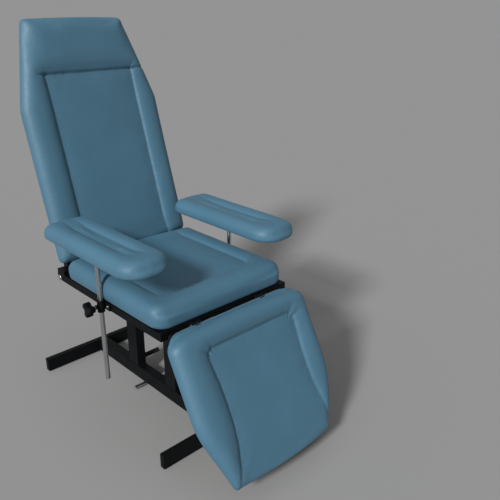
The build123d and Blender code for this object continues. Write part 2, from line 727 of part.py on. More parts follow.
# ---- arm rods, mounts, boards and pads ----------------------------------------------------------
def arm_rest(under):
    """Rod, mount, board and pad of the left arm, with the pad's underside at this height."""
    top = under - mount_t
    rod_top = top - soft_gap
    rod = rod_z(arm_rod_r, rod_top - arm_rod_l, rod_top, arm_x, arm_y)
    rod = fillet(rod.faces().sort_by(Axis.Z)[0].edges(), 2)
    mount = block(pad_x - mount_w / 2, pad_x + mount_w / 2, arm_y - mount_l / 2,
                  arm_y + mount_l / 2, top, under)
    mount += rod_z(hub_r, top - hub_l, top, arm_x, arm_y)
    fin = Polygon((arm_y, top), (arm_y - hub_r - fin_l, top), (arm_y, top - hub_l), align=None)
    fin = extrude(Pos(arm_x - fin_t / 2, 0, 0) * in_yz * fin, amount=fin_t)
    mount += fin
    mount -= rod_z(arm_rod_r + run_gap, top - hub_l - 1, top, arm_x, arm_y)
    front = pad_rear - pad_l
    half = pad_w / 2
    points = [(pad_x - half, front), (pad_x + half, front),
              (pad_x + half, pad_rear), (pad_x - half, pad_rear)]
    face = rounded(points, [pad_nose_r, pad_nose_r, pad_rear_r, pad_rear_r])
    lift = Pos(0, 0, under)
    wood = lift * board(face, pad_board_t, pad_board_inset)
    pad = lift * cushion(face, pad_t, pad_board_t, pad_board_inset, edge_r - 2)
    return {"arm_rod": rod, "arm_mount": mount, "arm_board": wood, "arm_pad": pad}


for name, piece in arm_rest(left_arm_z).items():
    parts["left_" + name] = piece
for name, piece in arm_rest(right_arm_z).items():
    parts["right_" + name] = mirrored(piece)

# ---- foot pedal ---------------------------------------------------------------------------------
grip_y = pedal_y + pedal_back
grip_z = pedal_z + pedal_rise
bar_end = grip_start + grip_cap
route = FilletPolyline((pedal_near, pedal_y, pedal_z), (pedal_far, pedal_y, pedal_z),
                       (pedal_far, grip_y, grip_z), (bar_end, grip_y, grip_z), radius=pedal_bend)
section = Plane(origin=(pedal_near, pedal_y, pedal_z), z_dir=(1, 0, 0)).location * Circle(pedal_r)
pedal = sweep(section, path=route)
pedal = fillet(pedal.faces().sort_by(Axis.X)[0].edges(), pedal_r * 0.6)
parts["pedal_bar"] = pedal
grip = rod_x(grip_r, grip_start, grip_start + grip_l, grip_y, grip_z)
grip = fillet(grip.edges().filter_by(GeomType.CIRCLE), 2)
grip -= rod_x(pedal_r + run_gap, bar_end, grip_start + grip_l + 1, grip_y, grip_z)
parts["pedal_grip"] = grip

bush = rod_x(bush_r, half_beam - tube_wall - 1, half_beam, pedal_y, pedal_z)
bush += rod_x(bush_flange_r, half_beam, half_beam + bush_flange_t, pedal_y, pedal_z)
bush -= rod_x(pedal_r + run_gap, half_beam - 5, half_beam + 5, pedal_y, pedal_z)
parts["pedal_bushes"] = [bush, mirrored(bush)]

# ---- one file for each piece --------------------------------------------------------------------
os.makedirs("parts", exist_ok=True)
for name, shape in parts.items():
    pieces = shape if isinstance(shape, list) else [shape]
    solids = [solid for piece in pieces for solid in (place * piece).solids()]
    whole = solids[0] if len(solids) == 1 else Compound(children=solids)
    export_step(whole, os.path.join("parts", name + ".step"))
print(len(parts), "nodes; middle at", round(middle_y, 2))
print("back spring", round(back_short, 1), "to", round(back_long, 1))
print("leg spring", round(leg_short, 1), "to", round(leg_long, 1))
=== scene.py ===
"""Upholstery, finishes and studio for a reclining treatment chair."""
import json
import math
from dataclasses import dataclass

import bmesh
import bpy
import numpy as np
from bpy.props import FloatProperty, FloatVectorProperty, PointerProperty
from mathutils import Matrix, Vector


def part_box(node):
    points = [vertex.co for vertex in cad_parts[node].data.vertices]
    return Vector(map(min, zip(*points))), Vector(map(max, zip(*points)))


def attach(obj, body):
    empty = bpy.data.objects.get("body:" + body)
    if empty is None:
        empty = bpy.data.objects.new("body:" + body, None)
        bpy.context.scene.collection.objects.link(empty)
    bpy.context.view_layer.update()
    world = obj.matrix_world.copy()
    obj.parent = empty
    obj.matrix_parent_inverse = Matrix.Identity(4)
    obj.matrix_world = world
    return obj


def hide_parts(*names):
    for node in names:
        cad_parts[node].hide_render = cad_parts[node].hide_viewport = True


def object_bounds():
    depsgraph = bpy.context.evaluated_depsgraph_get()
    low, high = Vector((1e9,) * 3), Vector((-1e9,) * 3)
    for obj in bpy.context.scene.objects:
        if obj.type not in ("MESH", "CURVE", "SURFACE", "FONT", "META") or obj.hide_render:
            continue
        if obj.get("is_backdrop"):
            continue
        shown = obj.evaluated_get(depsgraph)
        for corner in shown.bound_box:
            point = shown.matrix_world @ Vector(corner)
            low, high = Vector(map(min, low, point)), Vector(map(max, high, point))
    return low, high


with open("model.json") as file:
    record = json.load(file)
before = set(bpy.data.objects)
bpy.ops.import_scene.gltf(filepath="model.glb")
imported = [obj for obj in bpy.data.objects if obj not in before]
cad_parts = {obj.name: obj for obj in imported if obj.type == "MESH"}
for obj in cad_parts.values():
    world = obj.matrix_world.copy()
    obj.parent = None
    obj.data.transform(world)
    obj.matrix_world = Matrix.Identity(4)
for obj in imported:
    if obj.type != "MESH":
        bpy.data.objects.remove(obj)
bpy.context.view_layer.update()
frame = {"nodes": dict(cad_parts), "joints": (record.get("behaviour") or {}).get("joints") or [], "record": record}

bl_info = {
    "name": "Treatment Chair Workshop",
    "version": (1, 0, 0),
    "blender": (4, 5, 0),
    "location": "3D View > Sidebar > Chair",
    "description": "Upholsters and finishes a reclining treatment chair",
    "category": "Object",
}

MM = 0.001


# ---- Sizes and colours a user would change -----------------------------------------------------

def length_prop(name, description, millimetres):
    """Property that holds a length."""
    return FloatProperty(name=name, description=description, default=millimetres * MM,
                         unit="LENGTH")


def angle_prop(name, description, degrees):
    """Property that holds an angle."""
    return FloatProperty(name=name, description=description, default=math.radians(degrees),
                         subtype="ANGLE")


def colour_prop(name, description, red, green, blue):
    """Property that holds a colour."""
    return FloatVectorProperty(name=name, description=description, subtype="COLOR", size=4,
                               min=0.0, max=1.0, default=(red, green, blue, 1.0))


class ChairUpholstery(bpy.types.PropertyGroup):
    """Sizes of the padding."""
    back_tilt: angle_prop("Back tilt", "Lean of the back from vertical, as stored", 17.0)
    leg_tilt: angle_prop("Leg rest tilt", "Lean of the leg rest from vertical, as stored", 28.0)
    slack: length_prop("Slack", "How much smaller than its finished size the foam is cut", 0.6)
    puff: length_prop("Puff", "Furthest that the cover may swell off the foam", 5.0)
    cell: length_prop("Cloth cell", "Cell size of the cover while it is being filled", 6.0)
    pressure: FloatProperty(
        name="Filling pressure", description="Pressure of the filling against the cover",
        default=4.0)
    seam_depth: length_prop("Seam depth", "How far the seam pulls the cover down", 2.6)
    hem: length_prop("Hem width", "Width of cover turned over the back of each board", 34.0)
    staple_pitch: length_prop("Staple spacing", "Distance from one staple to the next", 24.0)


class ChairFinishes(bpy.types.PropertyGroup):
    """Colours of the finishes and the size of the weld beads."""
    vinyl: colour_prop("Vinyl", "Colour of the upholstery", 0.063, 0.163, 0.240)
    paint: colour_prop("Powder coat", "Colour of the tubes", 0.0011, 0.0018, 0.0021)
    plastic: colour_prop("Plastic", "Colour of knobs, caps and bushes", 0.0014, 0.0021, 0.0025)
    weld: length_prop("Weld bead", "Radius of one ripple of a weld", 2.4)


class ChairStudio(bpy.types.PropertyGroup):
    """Camera, lamps and floor."""
    lens: FloatProperty(
        name="Lens", description="Focal length of the camera in millimetres", default=44.04)
    azimuth: angle_prop("Azimuth", "Turn of the camera round the chair", -43.63)
    elevation: angle_prop("Elevation", "Height of the camera above the horizon", 21.92)
    stand: FloatVectorProperty(
        name="Stand", description="Place of the camera", subtype="TRANSLATION", size=3,
        default=(-1.0921, -1.5008, 1.3397))
    key: FloatProperty(
        name="Key lamp", description="Strength of the main lamp", default=3.05)
    fill: FloatProperty(
        name="Fill lamp", description="Strength of the lamp overhead", default=0.2)
    sky: FloatProperty(
        name="Sky", description="Strength of the even light all round", default=0.24)
    ground: colour_prop("Floor", "Colour of the floor and backdrop", 0.345, 0.345, 0.345)


# ---- Small helpers -----------------------------------------------------------------------------

def new_object(name, data):
    """Object holding a mesh, lamp or camera, linked to the scene."""
    made = bpy.data.objects.new(name, data)
    bpy.context.scene.collection.objects.link(made)
    return made


def baked(made):
    """Applies an object's modifiers to a plain mesh of its own."""
    depsgraph = bpy.context.evaluated_depsgraph_get()
    mesh = bpy.data.meshes.new_from_object(made.evaluated_get(depsgraph), depsgraph=depsgraph)
    made.modifiers.clear()
    old = made.data
    made.data = mesh
    if old.users == 0 and isinstance(old, bpy.types.Mesh):
        bpy.data.meshes.remove(old)
    return made


def object_from(bm, name):
    """Object of a finished bmesh."""
    mesh = bpy.data.meshes.new(name)
    bm.to_mesh(mesh)
    bm.free()
    return new_object(name, mesh)


def skin(bm, loops):
    """Four-sided faces between closed loops of equally many vertices."""
    for below, above in zip(loops, loops[1:]):
        for k in range(len(below)):
            j = (k + 1) % len(below)
            bm.faces.new((below[k], below[j], above[j], above[k]))


def points_of(mesh):
    """Vertex positions as an array."""
    flat = np.zeros(len(mesh.vertices) * 3)
    mesh.vertices.foreach_get("co", flat)
    return flat.reshape(-1, 3)


def set_points(mesh, points):
    """Writes vertex positions back."""
    mesh.vertices.foreach_set("co", np.asarray(points, np.float32).ravel())
    mesh.update()


def dress(made, slot):
    """Gives a piece the finish of its slot as its only material."""
    made.data.materials.clear()
    made.data.materials.append(FINISHES[SLOT_FINISH[slot]])
    made.data.polygons.foreach_set("material_index", [0] * len(made.data.polygons))


def finished(made, body, slot, smooth=True):
    """Gives a new piece its finish, its shading and its body."""
    dress(made, slot)
    if smooth:
        made.data.polygons.foreach_set("use_smooth", [True] * len(made.data.polygons))
    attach(made, body)
    return made


def joint(name):
    """A joint of the chair by name."""
    return next(j for j in frame["joints"] if j["name"] == name)


class Panel:
    """Drawing frame of a cushion: x across, s along, n out of its padded face."""

    HALVINGS = 16  # steps of the search for a line inside the outline

    def __init__(self, origin, along, out, node):
        self.origin = np.array(origin, float)
        self.axes = np.array([(1.0, 0.0, 0.0), along, out], float)
        self.low, self.high = self.box(node)
        outline = self.local(points_of(frame["nodes"][node].data))[:, :2]
        self.edges = edges_of(hull_of(outline))

    def local(self, points):
        """Points of the chair in this panel's frame."""
        return (points - self.origin) @ self.axes.T

    def world(self, points):
        """Points of this panel's frame in the chair."""
        return points @ self.axes + self.origin

    def box(self, node):
        """Lowest and highest corners of a node in this panel's frame."""
        local = self.local(points_of(frame["nodes"][node].data))
        return local.min(0), local.max(0)

    def inner(self, depths, count):
        """The outline moved in by each depth, as x and s."""
        centre = (self.low[:2] + self.high[:2]) / 2
        turn = np.linspace(0, math.tau, count, endpoint=False)
        way = np.stack([np.cos(turn), np.sin(turn)], 1) * (self.high[:2] - self.low[:2])
        depths = np.asarray(depths, float)[:, None]
        near = np.zeros((len(depths), count))
        far = np.ones((len(depths), count))
        for _ in range(self.HALVINGS):
            middle = (near + far) / 2
            flat = (centre + way * middle[..., None]).reshape(-1, 2)
            outside = inside(flat, self.edges).reshape(middle.shape) < depths
            far = np.where(outside, middle, far)
            near = np.where(outside, near, middle)
        return centre + way * near[..., None]


def hull_of(flat):
    """Convex outline of flat points, turning left."""
    ordered = sorted(set(map(tuple, np.round(flat, 5))))

    def half(sequence):
        chain = []
        for p in sequence:
            while len(chain) > 1:
                (ax, ay), (bx, by) = chain[-2], chain[-1]
                if (bx - ax) * (p[1] - ay) - (by - ay) * (p[0] - ax) > 1e-9:
                    break
                chain.pop()
            chain.append(p)
        return chain[:-1]

    return np.array(half(ordered) + half(reversed(ordered)))


def edges_of(hull):
    """Sides of a convex outline, each as a point and its inward normal."""
    along = np.roll(hull, -1, 0) - hull
    along /= np.linalg.norm(along, axis=1)[:, None]
    return [(point, np.array((-way[1], way[0]))) for point, way in zip(hull, along)]


def inside(flat, edges):
    """Distance of flat points inside a convex outline."""
    depth = np.full(len(flat), 1e9)
    for point, normal in edges:
        depth = np.minimum(depth, (flat - point) @ normal)
    return depth


def smooth_step(t):
    """Eases from 0 to 1."""
    t = np.clip(t, 0.0, 1.0)
    return t * t * (3 - 2 * t)


WAVES = 7
WAVE_SIZES = 0.6, 1.7  # shortest and longest wave against the size asked for


def ripple(points, size, seed):
    """Smooth pseudo-random field made of a few crossed waves."""
    rng = np.random.default_rng(seed)
    total = np.zeros(len(points))
    for _ in range(WAVES):
        way = rng.normal(size=3)
        way /= np.linalg.norm(way)
        total += np.sin(points @ way * (math.tau / (size * rng.uniform(*WAVE_SIZES)))
                        + rng.uniform(0, math.tau))
    return total / WAVES


# ---- Materials ---------------------------------------------------------------------------------

class Nodes:
    """Node tree and the calls that build it."""

    def __init__(self, tree):
        self.nodes, self.links = tree.nodes, tree.links

    def feed(self, sockets, inputs):
        """Links or sets sockets by name or number."""
        for key, value in inputs.items():
            if isinstance(value, bpy.types.NodeSocket):
                self.links.new(value, sockets[key])
            else:
                sockets[key].default_value = value

    def add(self, kind, inputs=None, **settings):
        """New node with its settings, and its inputs linked or set."""
        node = self.nodes.new(kind)
        for key, value in settings.items():
            setattr(node, key, value)
        self.feed(node.inputs, inputs or {})
        return node


class Shader(Nodes):
    """Surface material on Object coordinates."""

    def __init__(self, name):
        self.material = bpy.data.materials.new(name)
        self.material.use_nodes = True
        super().__init__(self.material.node_tree)
        self.place = self.add("ShaderNodeTexCoord").outputs["Object"]

    def noise(self, scale, detail=3.0, rough=0.5, stretch=None):
        """Cloudy pattern, drawn out where stretch is given."""
        place = self.place
        if stretch:
            place = self.add("ShaderNodeMapping", {"Vector": place, "Scale": stretch}).outputs[0]
        return self.add("ShaderNodeTexNoise", {"Scale": scale, "Detail": detail, "Roughness": rough,
                                               "Vector": place}).outputs["Fac"]

    def wear_and_crease_shade(self):
        """Above 0.5 on edges that stick out, below it in creases; drives rubbed edges on paint and painted crease
        shade on vinyl.
        """
        return self.add("ShaderNodeNewGeometry").outputs["Pointiness"]

    def spread(self, value, low, high, start=0.3, end=0.7):
        """Value from start to end drawn out to run from low to high."""
        return self.add("ShaderNodeMapRange", {"Value": value, "From Min": start, "From Max": end,
                                               "To Min": low, "To Max": high}).outputs["Result"]

    def mix(self, value, first, second):
        """From the first colour at 0 to the second at 1."""
        return self.add("ShaderNodeMix", {0: value, 6: first, 7: second},
                        data_type="RGBA").outputs[2]

    def bumps(self, *layers):
        """Surface relief from pairs of a pattern and its height."""
        relief = {}
        for height, distance in layers:
            node = self.add("ShaderNodeBump", {"Strength": 1.0, "Distance": distance,
                                               "Height": height, **relief})
            relief = {"Normal": node.outputs["Normal"]}
        return relief["Normal"]

    def finish(self, **inputs):
        """Feeds the surface and gives the material."""
        self.feed(self.nodes["Principled BSDF"].inputs,
                  {key.replace("_", " "): value for key, value in inputs.items()})
        return self.material


def shade(colour, factor):
    """A colour made lighter or darker."""
    return tuple(min(1.0, c * factor) for c in colour[:3]) + (1.0,)


def vinyl_material(colour):
    """Soft grained vinyl with a low gloss, and painted shade darkening its creases."""
    s = Shader("upholstery_vinyl")
    tone = s.mix(s.spread(s.noise(5.0, 3.0), 0.0, 1.0), shade(colour, 0.94), shade(colour, 1.06))
    # painted shade: the vinyl colour darkens to 0.72 where pointiness marks a crease
    crease_shade = s.spread(s.wear_and_crease_shade(), 1.0, 0.0, 0.44, 0.5)
    grain = s.add("ShaderNodeTexVoronoi", {"Scale": 640.0, "Vector": s.place}, feature="F1")
    return s.finish(
        Base_Color=s.mix(crease_shade, tone, shade(colour, 0.72)),
        Roughness=s.spread(s.noise(60.0, 4.0), 0.48, 0.58),
        Normal=s.bumps((s.noise(26.0, 2.0), 0.6 * MM), (grain.outputs["Distance"], 0.16 * MM),
                       (s.noise(1400.0, 2.0), 0.05 * MM)),
        Specular_IOR_Level=0.5, Sheen_Weight=0.05, Sheen_Roughness=0.4,
        Sheen_Tint=(0.6, 0.8, 1.0, 1.0))


def paint_material(colour):
    """Powder coat with orange peel, and grey where edges have rubbed."""
    s = Shader("powder_coat")
    dust = s.spread(s.noise(14.0, 6.0, 0.65), 0.0, 1.0, 0.35, 0.75)
    rub = s.spread(s.wear_and_crease_shade(), 0.0, 0.35, 0.54, 0.64)
    return s.finish(
        Base_Color=s.mix(rub, s.mix(dust, colour, shade(colour, 2.1)), (0.013, 0.014, 0.015, 1.0)),
        Roughness=s.spread(s.noise(30.0, 5.0), 0.34, 0.5),
        Normal=s.bumps((s.noise(620.0, 2.0), 0.22 * MM), (s.noise(90.0, 2.0), 0.1 * MM)),
        Specular_IOR_Level=0.07)


def steel_material(name, colour, low, high, stretch=None):
    """Bright metal with fine marks, its roughness between low and high."""
    s = Shader(name)
    cloud = s.noise(22.0, 4.0)
    return s.finish(
        Base_Color=s.mix(s.spread(cloud, 0.0, 1.0), shade(colour, 0.86), colour),
        Roughness=s.spread(cloud, low, high),
        Normal=s.bumps((s.noise(900.0, 3.0, 0.6, stretch), 0.04 * MM),
                       (s.noise(160.0, 3.0), 0.04 * MM)),
        Metallic=1.0)


def plastic_material(name, colour, low, high, grain):
    """Moulded plastic or rubber with a fine spark finish of this depth."""
    s = Shader(name)
    cloud = s.spread(s.noise(35.0, 4.0), 0.0, 1.0)
    return s.finish(
        Base_Color=s.mix(cloud, colour, shade(colour, 1.9)),
        Roughness=s.spread(s.noise(80.0, 4.0), low, high),
        Normal=s.bumps((s.noise(1600.0, 2.0), grain), (s.noise(240.0, 3.0), grain * 0.6)),
        Specular_IOR_Level=0.12)


def plywood_material():
    """Birch plywood with grain along the board."""
    s = Shader("birch_plywood")
    grain = s.noise(18.0, 8.0, 0.7, (14.0, 1.0, 1.0))
    pale, dark = (0.56, 0.40, 0.235, 1.0), (0.36, 0.235, 0.125, 1.0)
    tone = s.mix(s.spread(grain, 0.0, 1.0, 0.35, 0.7), pale, dark)
    return s.finish(
        Base_Color=s.mix(s.spread(s.noise(6.0, 3.0), 0.0, 0.5), tone, shade(pale, 1.15)),
        Roughness=s.spread(grain, 0.55, 0.75),
        Normal=s.bumps((grain, 0.25 * MM), (s.noise(500.0, 3.0), 0.08 * MM)))


FINISHES = {}


def make_finishes(look):
    """Fills the table of materials."""
    FINISHES["vinyl"] = vinyl_material(tuple(look.vinyl))
    FINISHES["paint"] = paint_material(tuple(look.paint))
    FINISHES["bright"] = steel_material("bright_fastener", (0.62, 0.62, 0.63, 1), 0.22, 0.34)
    FINISHES["chrome"] = steel_material("chromed_rod", (0.60, 0.62, 0.63, 1), 0.16, 0.24,
                                        (1.0, 1.0, 0.06))
    FINISHES["plastic"] = plastic_material("moulded_plastic", tuple(look.plastic), 0.42, 0.55,
                                           0.12 * MM)
    FINISHES["rubber"] = plastic_material("grip_rubber", (0.011, 0.011, 0.011, 1), 0.62, 0.8,
                                          0.2 * MM)
    FINISHES["wood"] = plywood_material()


SLOT_FINISH = {
    "black_paint": "paint",
    "bright_steel": "bright",
    "chrome_rod": "chrome",
    "black_plastic": "plastic",
    "rubber": "rubber",
    "plywood": "wood",
    "blue_vinyl": "vinyl",
}


# ---- Padding -----------------------------------------------------------------------------------

ACROSS = 0.99      # an edge that faces along s more than this is an end, not a side
FALL = 0.86        # fall of a rounded edge as a share of its width
MOST_FALL = 0.62   # and the most it falls, as a share of the pad's thickness
STEEPNESS = 2.3    # how late a sharp roll drops to its seam
SLOPE = 1.35       # length of a soft slope against the roll's width
CROWN_RUN = 0.05   # distance over which the middle rises to its crown
BOW_TURN = 3.6     # part of a wave that the bow of the sides follows


@dataclass
class Padding:
    """Where a cushion's raised rolls and its sunken middle lie."""

    panel: Panel
    half: float              # half the width of the sunken middle
    end: float               # where the middle ends, along s
    towards: int             # +1 when the middle ends at high s
    corner: float            # radius of its corners
    depth: float             # how deep it lies
    roll: float              # width over which a roll falls to the seam
    edge: float              # how far in the sides are rounded
    top_edge: float          # the same at the closed end
    open_edge: float         # the same at the end where the middle runs out
    soft: float              # 0 for a sharp seam, 1 for a soft slope
    taper: float = 0.0       # how the middle widens towards its open end
    bow: float = 0.0         # how far its sides bow inwards half way down
    shift: float = 0.0       # how far the middle lies off centre
    fade: float = 0.0        # length over which its closed end fades out
    open_fade: float = 0.0   # the same at its open end
    crown: float = 0.0       # rise of the middle away from its seams
    arch: float = 0.004      # fall of the rolls from their crest to the edge
    under: float = 0.009     # rounding of the edges against the board
    pucker: float = 0.0006   # height of the gathers beside the seams
    cross_seam: float = 0.0  # depth of the seam that runs on past its corners
    reach: float = 0.0       # how far the open end is drawn out, or in where below 0
    tuck: float = 0.0        # how far the closed end is drawn in, or out where below 0
    swell: float = 0.0       # how far the side rolls bulge past the board
    lift: float = 0.0        # how far the padded face stands proud

    def __post_init__(self):
        self.sides = [edge for edge in self.panel.edges if abs(edge[1][1]) < ACROSS]
        ends = self.panel.low[1], self.panel.high[1]
        self.tail, self.head = ends if self.towards > 0 else ends[::-1]  # open and closed end

    def within(self, local):
        """Distance inside the sunken middle."""
        ahead = (local[:, 1] - self.end) * self.towards
        back = np.clip(-ahead / (self.panel.high[1] - self.panel.low[1]), 0, 1)
        half = self.half - self.taper * ahead - self.bow * np.sin(back * BOW_TURN)
        across = np.abs(local[:, 0] - self.shift)
        q = np.stack([across - (half - self.corner), ahead + self.corner], 1)
        outer = np.linalg.norm(np.maximum(q, 0), axis=1)
        return self.corner - outer - np.minimum(q.max(1), 0)

    def share(self, local):
        """How much of the sunken middle's depth holds here, along s."""
        share = np.ones(len(local))
        if self.fade:
            share = smooth_step((self.end - local[:, 1]) * self.towards / self.fade)
        if self.open_fade:
            share = share * smooth_step(np.abs(local[:, 1] - self.tail) / self.open_fade)
        return share

    def roof(self, local):
        """Height of the padded face."""
        thick = self.panel.high[2] - self.panel.low[2]
        aside = inside(local[:, :2], self.sides)
        total, deep = np.full(len(local), 1e-9), np.zeros(len(local))
        for away, reach in ((aside, self.edge), (np.abs(local[:, 1] - self.tail), self.open_edge),
                            (np.abs(local[:, 1] - self.head), self.top_edge)):
            part = np.clip(1 - away / reach, 0, 1) ** 2
            total += part
            deep += part * min(reach * FALL, thick * MOST_FALL)
        round_off = (1 - np.sqrt(1 - np.minimum(total, 1.0))) * deep / total
        crest = np.minimum(aside, np.abs(local[:, 1] - self.head))
        round_off += self.arch * np.clip(1 - crest / (2 * self.edge), 0, 1) ** 2
        r = self.within(local)
        u = np.clip((r + self.roll) / self.roll, 0, 1)
        sharp = 1 - np.sqrt(np.maximum(1 - u ** STEEPNESS, 0))
        soft = smooth_step((r + self.roll) / (SLOPE * self.roll))
        drop = self.depth * (sharp * (1 - self.soft) + soft * self.soft)
        rise = self.crown * (1 - np.exp(-np.maximum(r, 0) / CROWN_RUN))
        return self.panel.high[2] - round_off - (drop - rise) * self.share(local)

    def floor(self, local):
        """Height of the rounded edge against the board."""
        t = np.clip(1 - inside(local[:, :2], self.panel.edges) / self.under, 0, 1)
        return self.panel.low[2] + self.under * (1 - np.sqrt(1 - t * t))


RING_POINTS = 360
EDGE_RINGS = np.array((0.0, 0.4, 1.2, 2.4, 4.0, 6.0, 8.5, 11.5, 15.0, 19.0, 23.0)) * MM
INNER_RINGS = 0.027, 0.004  # depth of the first ring past the edge, and their spacing
WALL_STEPS = 6


def pad_body(name, padding, look):
    """Closed pad cut a little small, as rings up one face, over the edge and down the other."""
    panel = padding.panel
    start, spacing = INNER_RINGS
    middle = (panel.high[:2] - panel.low[:2]).min() / 2
    depths = np.concatenate([EDGE_RINGS, np.arange(start, middle - spacing, spacing)])
    sides = []
    for height, slack in ((padding.floor, 0.0), (padding.roof, look.slack)):
        rings = panel.inner(depths + slack, RING_POINTS)
        face = [np.column_stack([flat, np.zeros(RING_POINTS)]) for flat in rings]
        for ring in face:
            ring[:, 2] = height(ring)
        tip = np.append(rings[-1].mean(0), face[-1][:, 2].mean())
        sides.append((face, tip))
    (lower, lower_tip), (upper, upper_tip) = sides
    wall = [lower[0] + (upper[0] - lower[0]) * k / WALL_STEPS for k in range(1, WALL_STEPS)]
    bm = bmesh.new()
    grid = [[bm.verts.new(panel.world(point)) for point in loop]
            for loop in lower[::-1] + wall + upper]
    skin(bm, grid)
    for loop, tip, turn in ((grid[0], lower_tip, -1), (grid[-1], upper_tip, 1)):
        top = bm.verts.new(panel.world(tip))
        for k in range(RING_POINTS):
            pair = (loop[k], loop[(k + 1) % RING_POINTS])[::turn]
            bm.faces.new((*pair, top))
    made = object_from(bm, name)
    remesh = made.modifiers.new("Even mesh", "REMESH")
    remesh.mode = "VOXEL"
    remesh.voxel_size = look.cell
    return baked(made)


UPPER_START, UPPER_RUN = 0.3, 0.3  # where the padded side sets in, as shares of the thickness


def upper_share(local, panel):
    """0 on the board side of a cushion, 1 on its padded face."""
    thick = panel.high[2] - panel.low[2]
    return smooth_step((local[:, 2] - panel.low[2] - UPPER_START * thick) / (UPPER_RUN * thick))


def evened(mesh, values, rounds):
    """Values at the points of a mesh, evened out along its edges."""
    ends = np.empty(len(mesh.edges) * 2, dtype=np.int32)
    mesh.edges.foreach_get("vertices", ends)
    ends = ends.reshape(-1, 2)
    links = np.bincount(ends.ravel(), minlength=len(values))[:, None]
    for _ in range(rounds):
        total = np.zeros_like(values)
        for here, there in ((0, 1), (1, 0)):
            np.add.at(total, ends[:, here], values[ends[:, there]])
        values = (values + total / links) / 2
    return values


SEAM_HOLD = 0.007       # how far from a seam the cover is held
BOARD_HOLD = 0.008      # height above the board's side over which it is held
END_HOLD = 0.03         # length over which the hold fades out from the open end
END_FULL = 0.5          # share of that length over which it stays full before it fades
HOLD_LEVELS = (0.35, 0.7, 1.0)
LEVEL_SLACK = 0.001     # how far below a level a point still gets it
FILL_STEPS = 20
EVENING_ROUNDS = 8
CLOTH = {"quality": 4, "mass": 0.25, "tension_stiffness": 22, "compression_stiffness": 22,
         "shear_stiffness": 8, "bending_stiffness": 2.5, "use_pressure": True}


def hold_cover(made, padding, local):
    """Group of points that the filling can't move, in a few strengths."""
    panel = padding.panel
    seam = np.exp(-(padding.within(local) / SEAM_HOLD) ** 2)
    hold = np.maximum(seam * upper_share(local, panel) * padding.share(local),
                      local[:, 2] < panel.low[2] + BOARD_HOLD)
    open_end = smooth_step(1 + END_FULL - np.abs(local[:, 1] - padding.tail) / END_HOLD)
    hold = np.maximum(hold, open_end)
    pins = made.vertex_groups.new(name="held")
    for level in HOLD_LEVELS:
        chosen = np.nonzero(hold >= level - LEVEL_SLACK)[0]
        pins.add([int(i) for i in chosen], level, "REPLACE")
    return pins.name


def fill_pad(made, padding, look):
    """Presses the cover out against its seams as cloth, then keeps the result."""
    before = points_of(made.data)
    held = hold_cover(made, padding, padding.panel.local(before))
    cloth = made.modifiers.new("Cover", "CLOTH")
    for key, value in CLOTH.items():
        setattr(cloth.settings, key, value)
    cloth.settings.uniform_pressure_force = look.pressure
    cloth.settings.effector_weights.gravity = 0
    cloth.settings.vertex_group_mass = held
    cloth.collision_settings.use_collision = False
    cloth.point_cache.frame_start = 1
    cloth.point_cache.frame_end = FILL_STEPS
    for step in range(1, FILL_STEPS + 1):
        bpy.context.scene.frame_set(step)
    baked(made)
    bpy.context.scene.frame_set(1)
    made.vertex_groups.clear()
    moved = evened(made.data, points_of(made.data) - before, EVENING_ROUNDS)
    far = np.linalg.norm(moved, axis=1)
    keep = look.puff * np.tanh(far / look.puff) / np.maximum(far, 1e-9)
    set_points(made.data, before + moved * keep[:, None])
    finer = made.modifiers.new("Finer", "SUBSURF")
    finer.levels = finer.render_levels = 1
    return baked(made)


SEAM_WIDTH = 0.0035    # half width of a sharp seam
SOFT_WIDTH = 0.004     # and what a soft one has on top
SOFT_LOSS = 0.45       # share of its depth that a soft seam loses
GATHER_REACH = 0.03    # how far from a seam the gathers run
GATHER_SIZE = 0.034    # length of one gather
CALM_HEIGHT, CALM_SIZE = 0.0008, 0.16  # slow unevenness of the whole face
CROSS_WIDTH = 0.0045   # half width of the seam that runs on past the corners
CROSS_FADE = 0.035     # length over which it fades out on one side of the middle
CROSS_START, CROSS_RISE = 0.012, 0.01  # where it starts inside the corner, and how fast
POCKET_GAP = 0.0006    # room between the foam and its board
POCKET_RIM = 0.001     # how far the pocket reaches past its board
POCKET_DEPTH = 0.004   # height above the underside up to which points belong to the pocket
END_RUN, TOP_RUN, SIDE_RUN = 0.06, 0.08, 0.08  # lengths over which the ends and sides are drawn
RISE_SHARE = 0.4       # share of the thickness over which the face's lift sets in
LOW_SWELL = 0.3        # share of the swell that is left at the board


def sew_pad(made, padding, look, board, seed):
    """Draws the seams down, gathers the cover beside them and opens the board's pocket."""
    panel = padding.panel
    local = panel.local(points_of(made.data))
    upper = upper_share(local, panel)
    r = padding.within(local)
    share = padding.share(local) * upper
    narrow = SEAM_WIDTH + SOFT_WIDTH * padding.soft
    groove = look.seam_depth * np.exp(-(r / narrow) ** 2) * (1 - SOFT_LOSS * padding.soft)
    gathers = (padding.pucker * np.exp(-np.abs(r) / GATHER_REACH)
               * ripple(local, GATHER_SIZE, seed))
    calm = CALM_HEIGHT * ripple(local, CALM_SIZE, seed + 1)
    local[:, 2] += (gathers - groove + corner_folds(local, padding)) * share + calm * upper
    cross_seam(local, padding, upper)
    low, high = panel.box(board)
    edge = np.array((low[0] - panel.low[0], low[1] - panel.low[1])).min()
    pocket = ((inside(local[:, :2], panel.edges) > edge - POCKET_RIM)
              & (local[:, 2] < panel.low[2] + POCKET_DEPTH))
    local[:, 2] = np.where(pocket, high[2] + POCKET_GAP, local[:, 2])
    draw_out(local, padding, ~pocket)
    set_points(made.data, panel.world(local))
    return made


def cross_seam(local, padding, upper):
    """Draws down the seam that runs on past the corners of the middle."""
    aside = local[:, 0] - padding.shift
    near = smooth_step((aside + padding.half + CROSS_FADE) / CROSS_FADE)
    beyond = near * smooth_step((np.abs(aside) - padding.half + CROSS_START) / CROSS_RISE)
    line = np.exp(-((local[:, 1] - padding.end) / CROSS_WIDTH) ** 2)
    local[:, 2] -= padding.cross_seam * beyond * line * upper


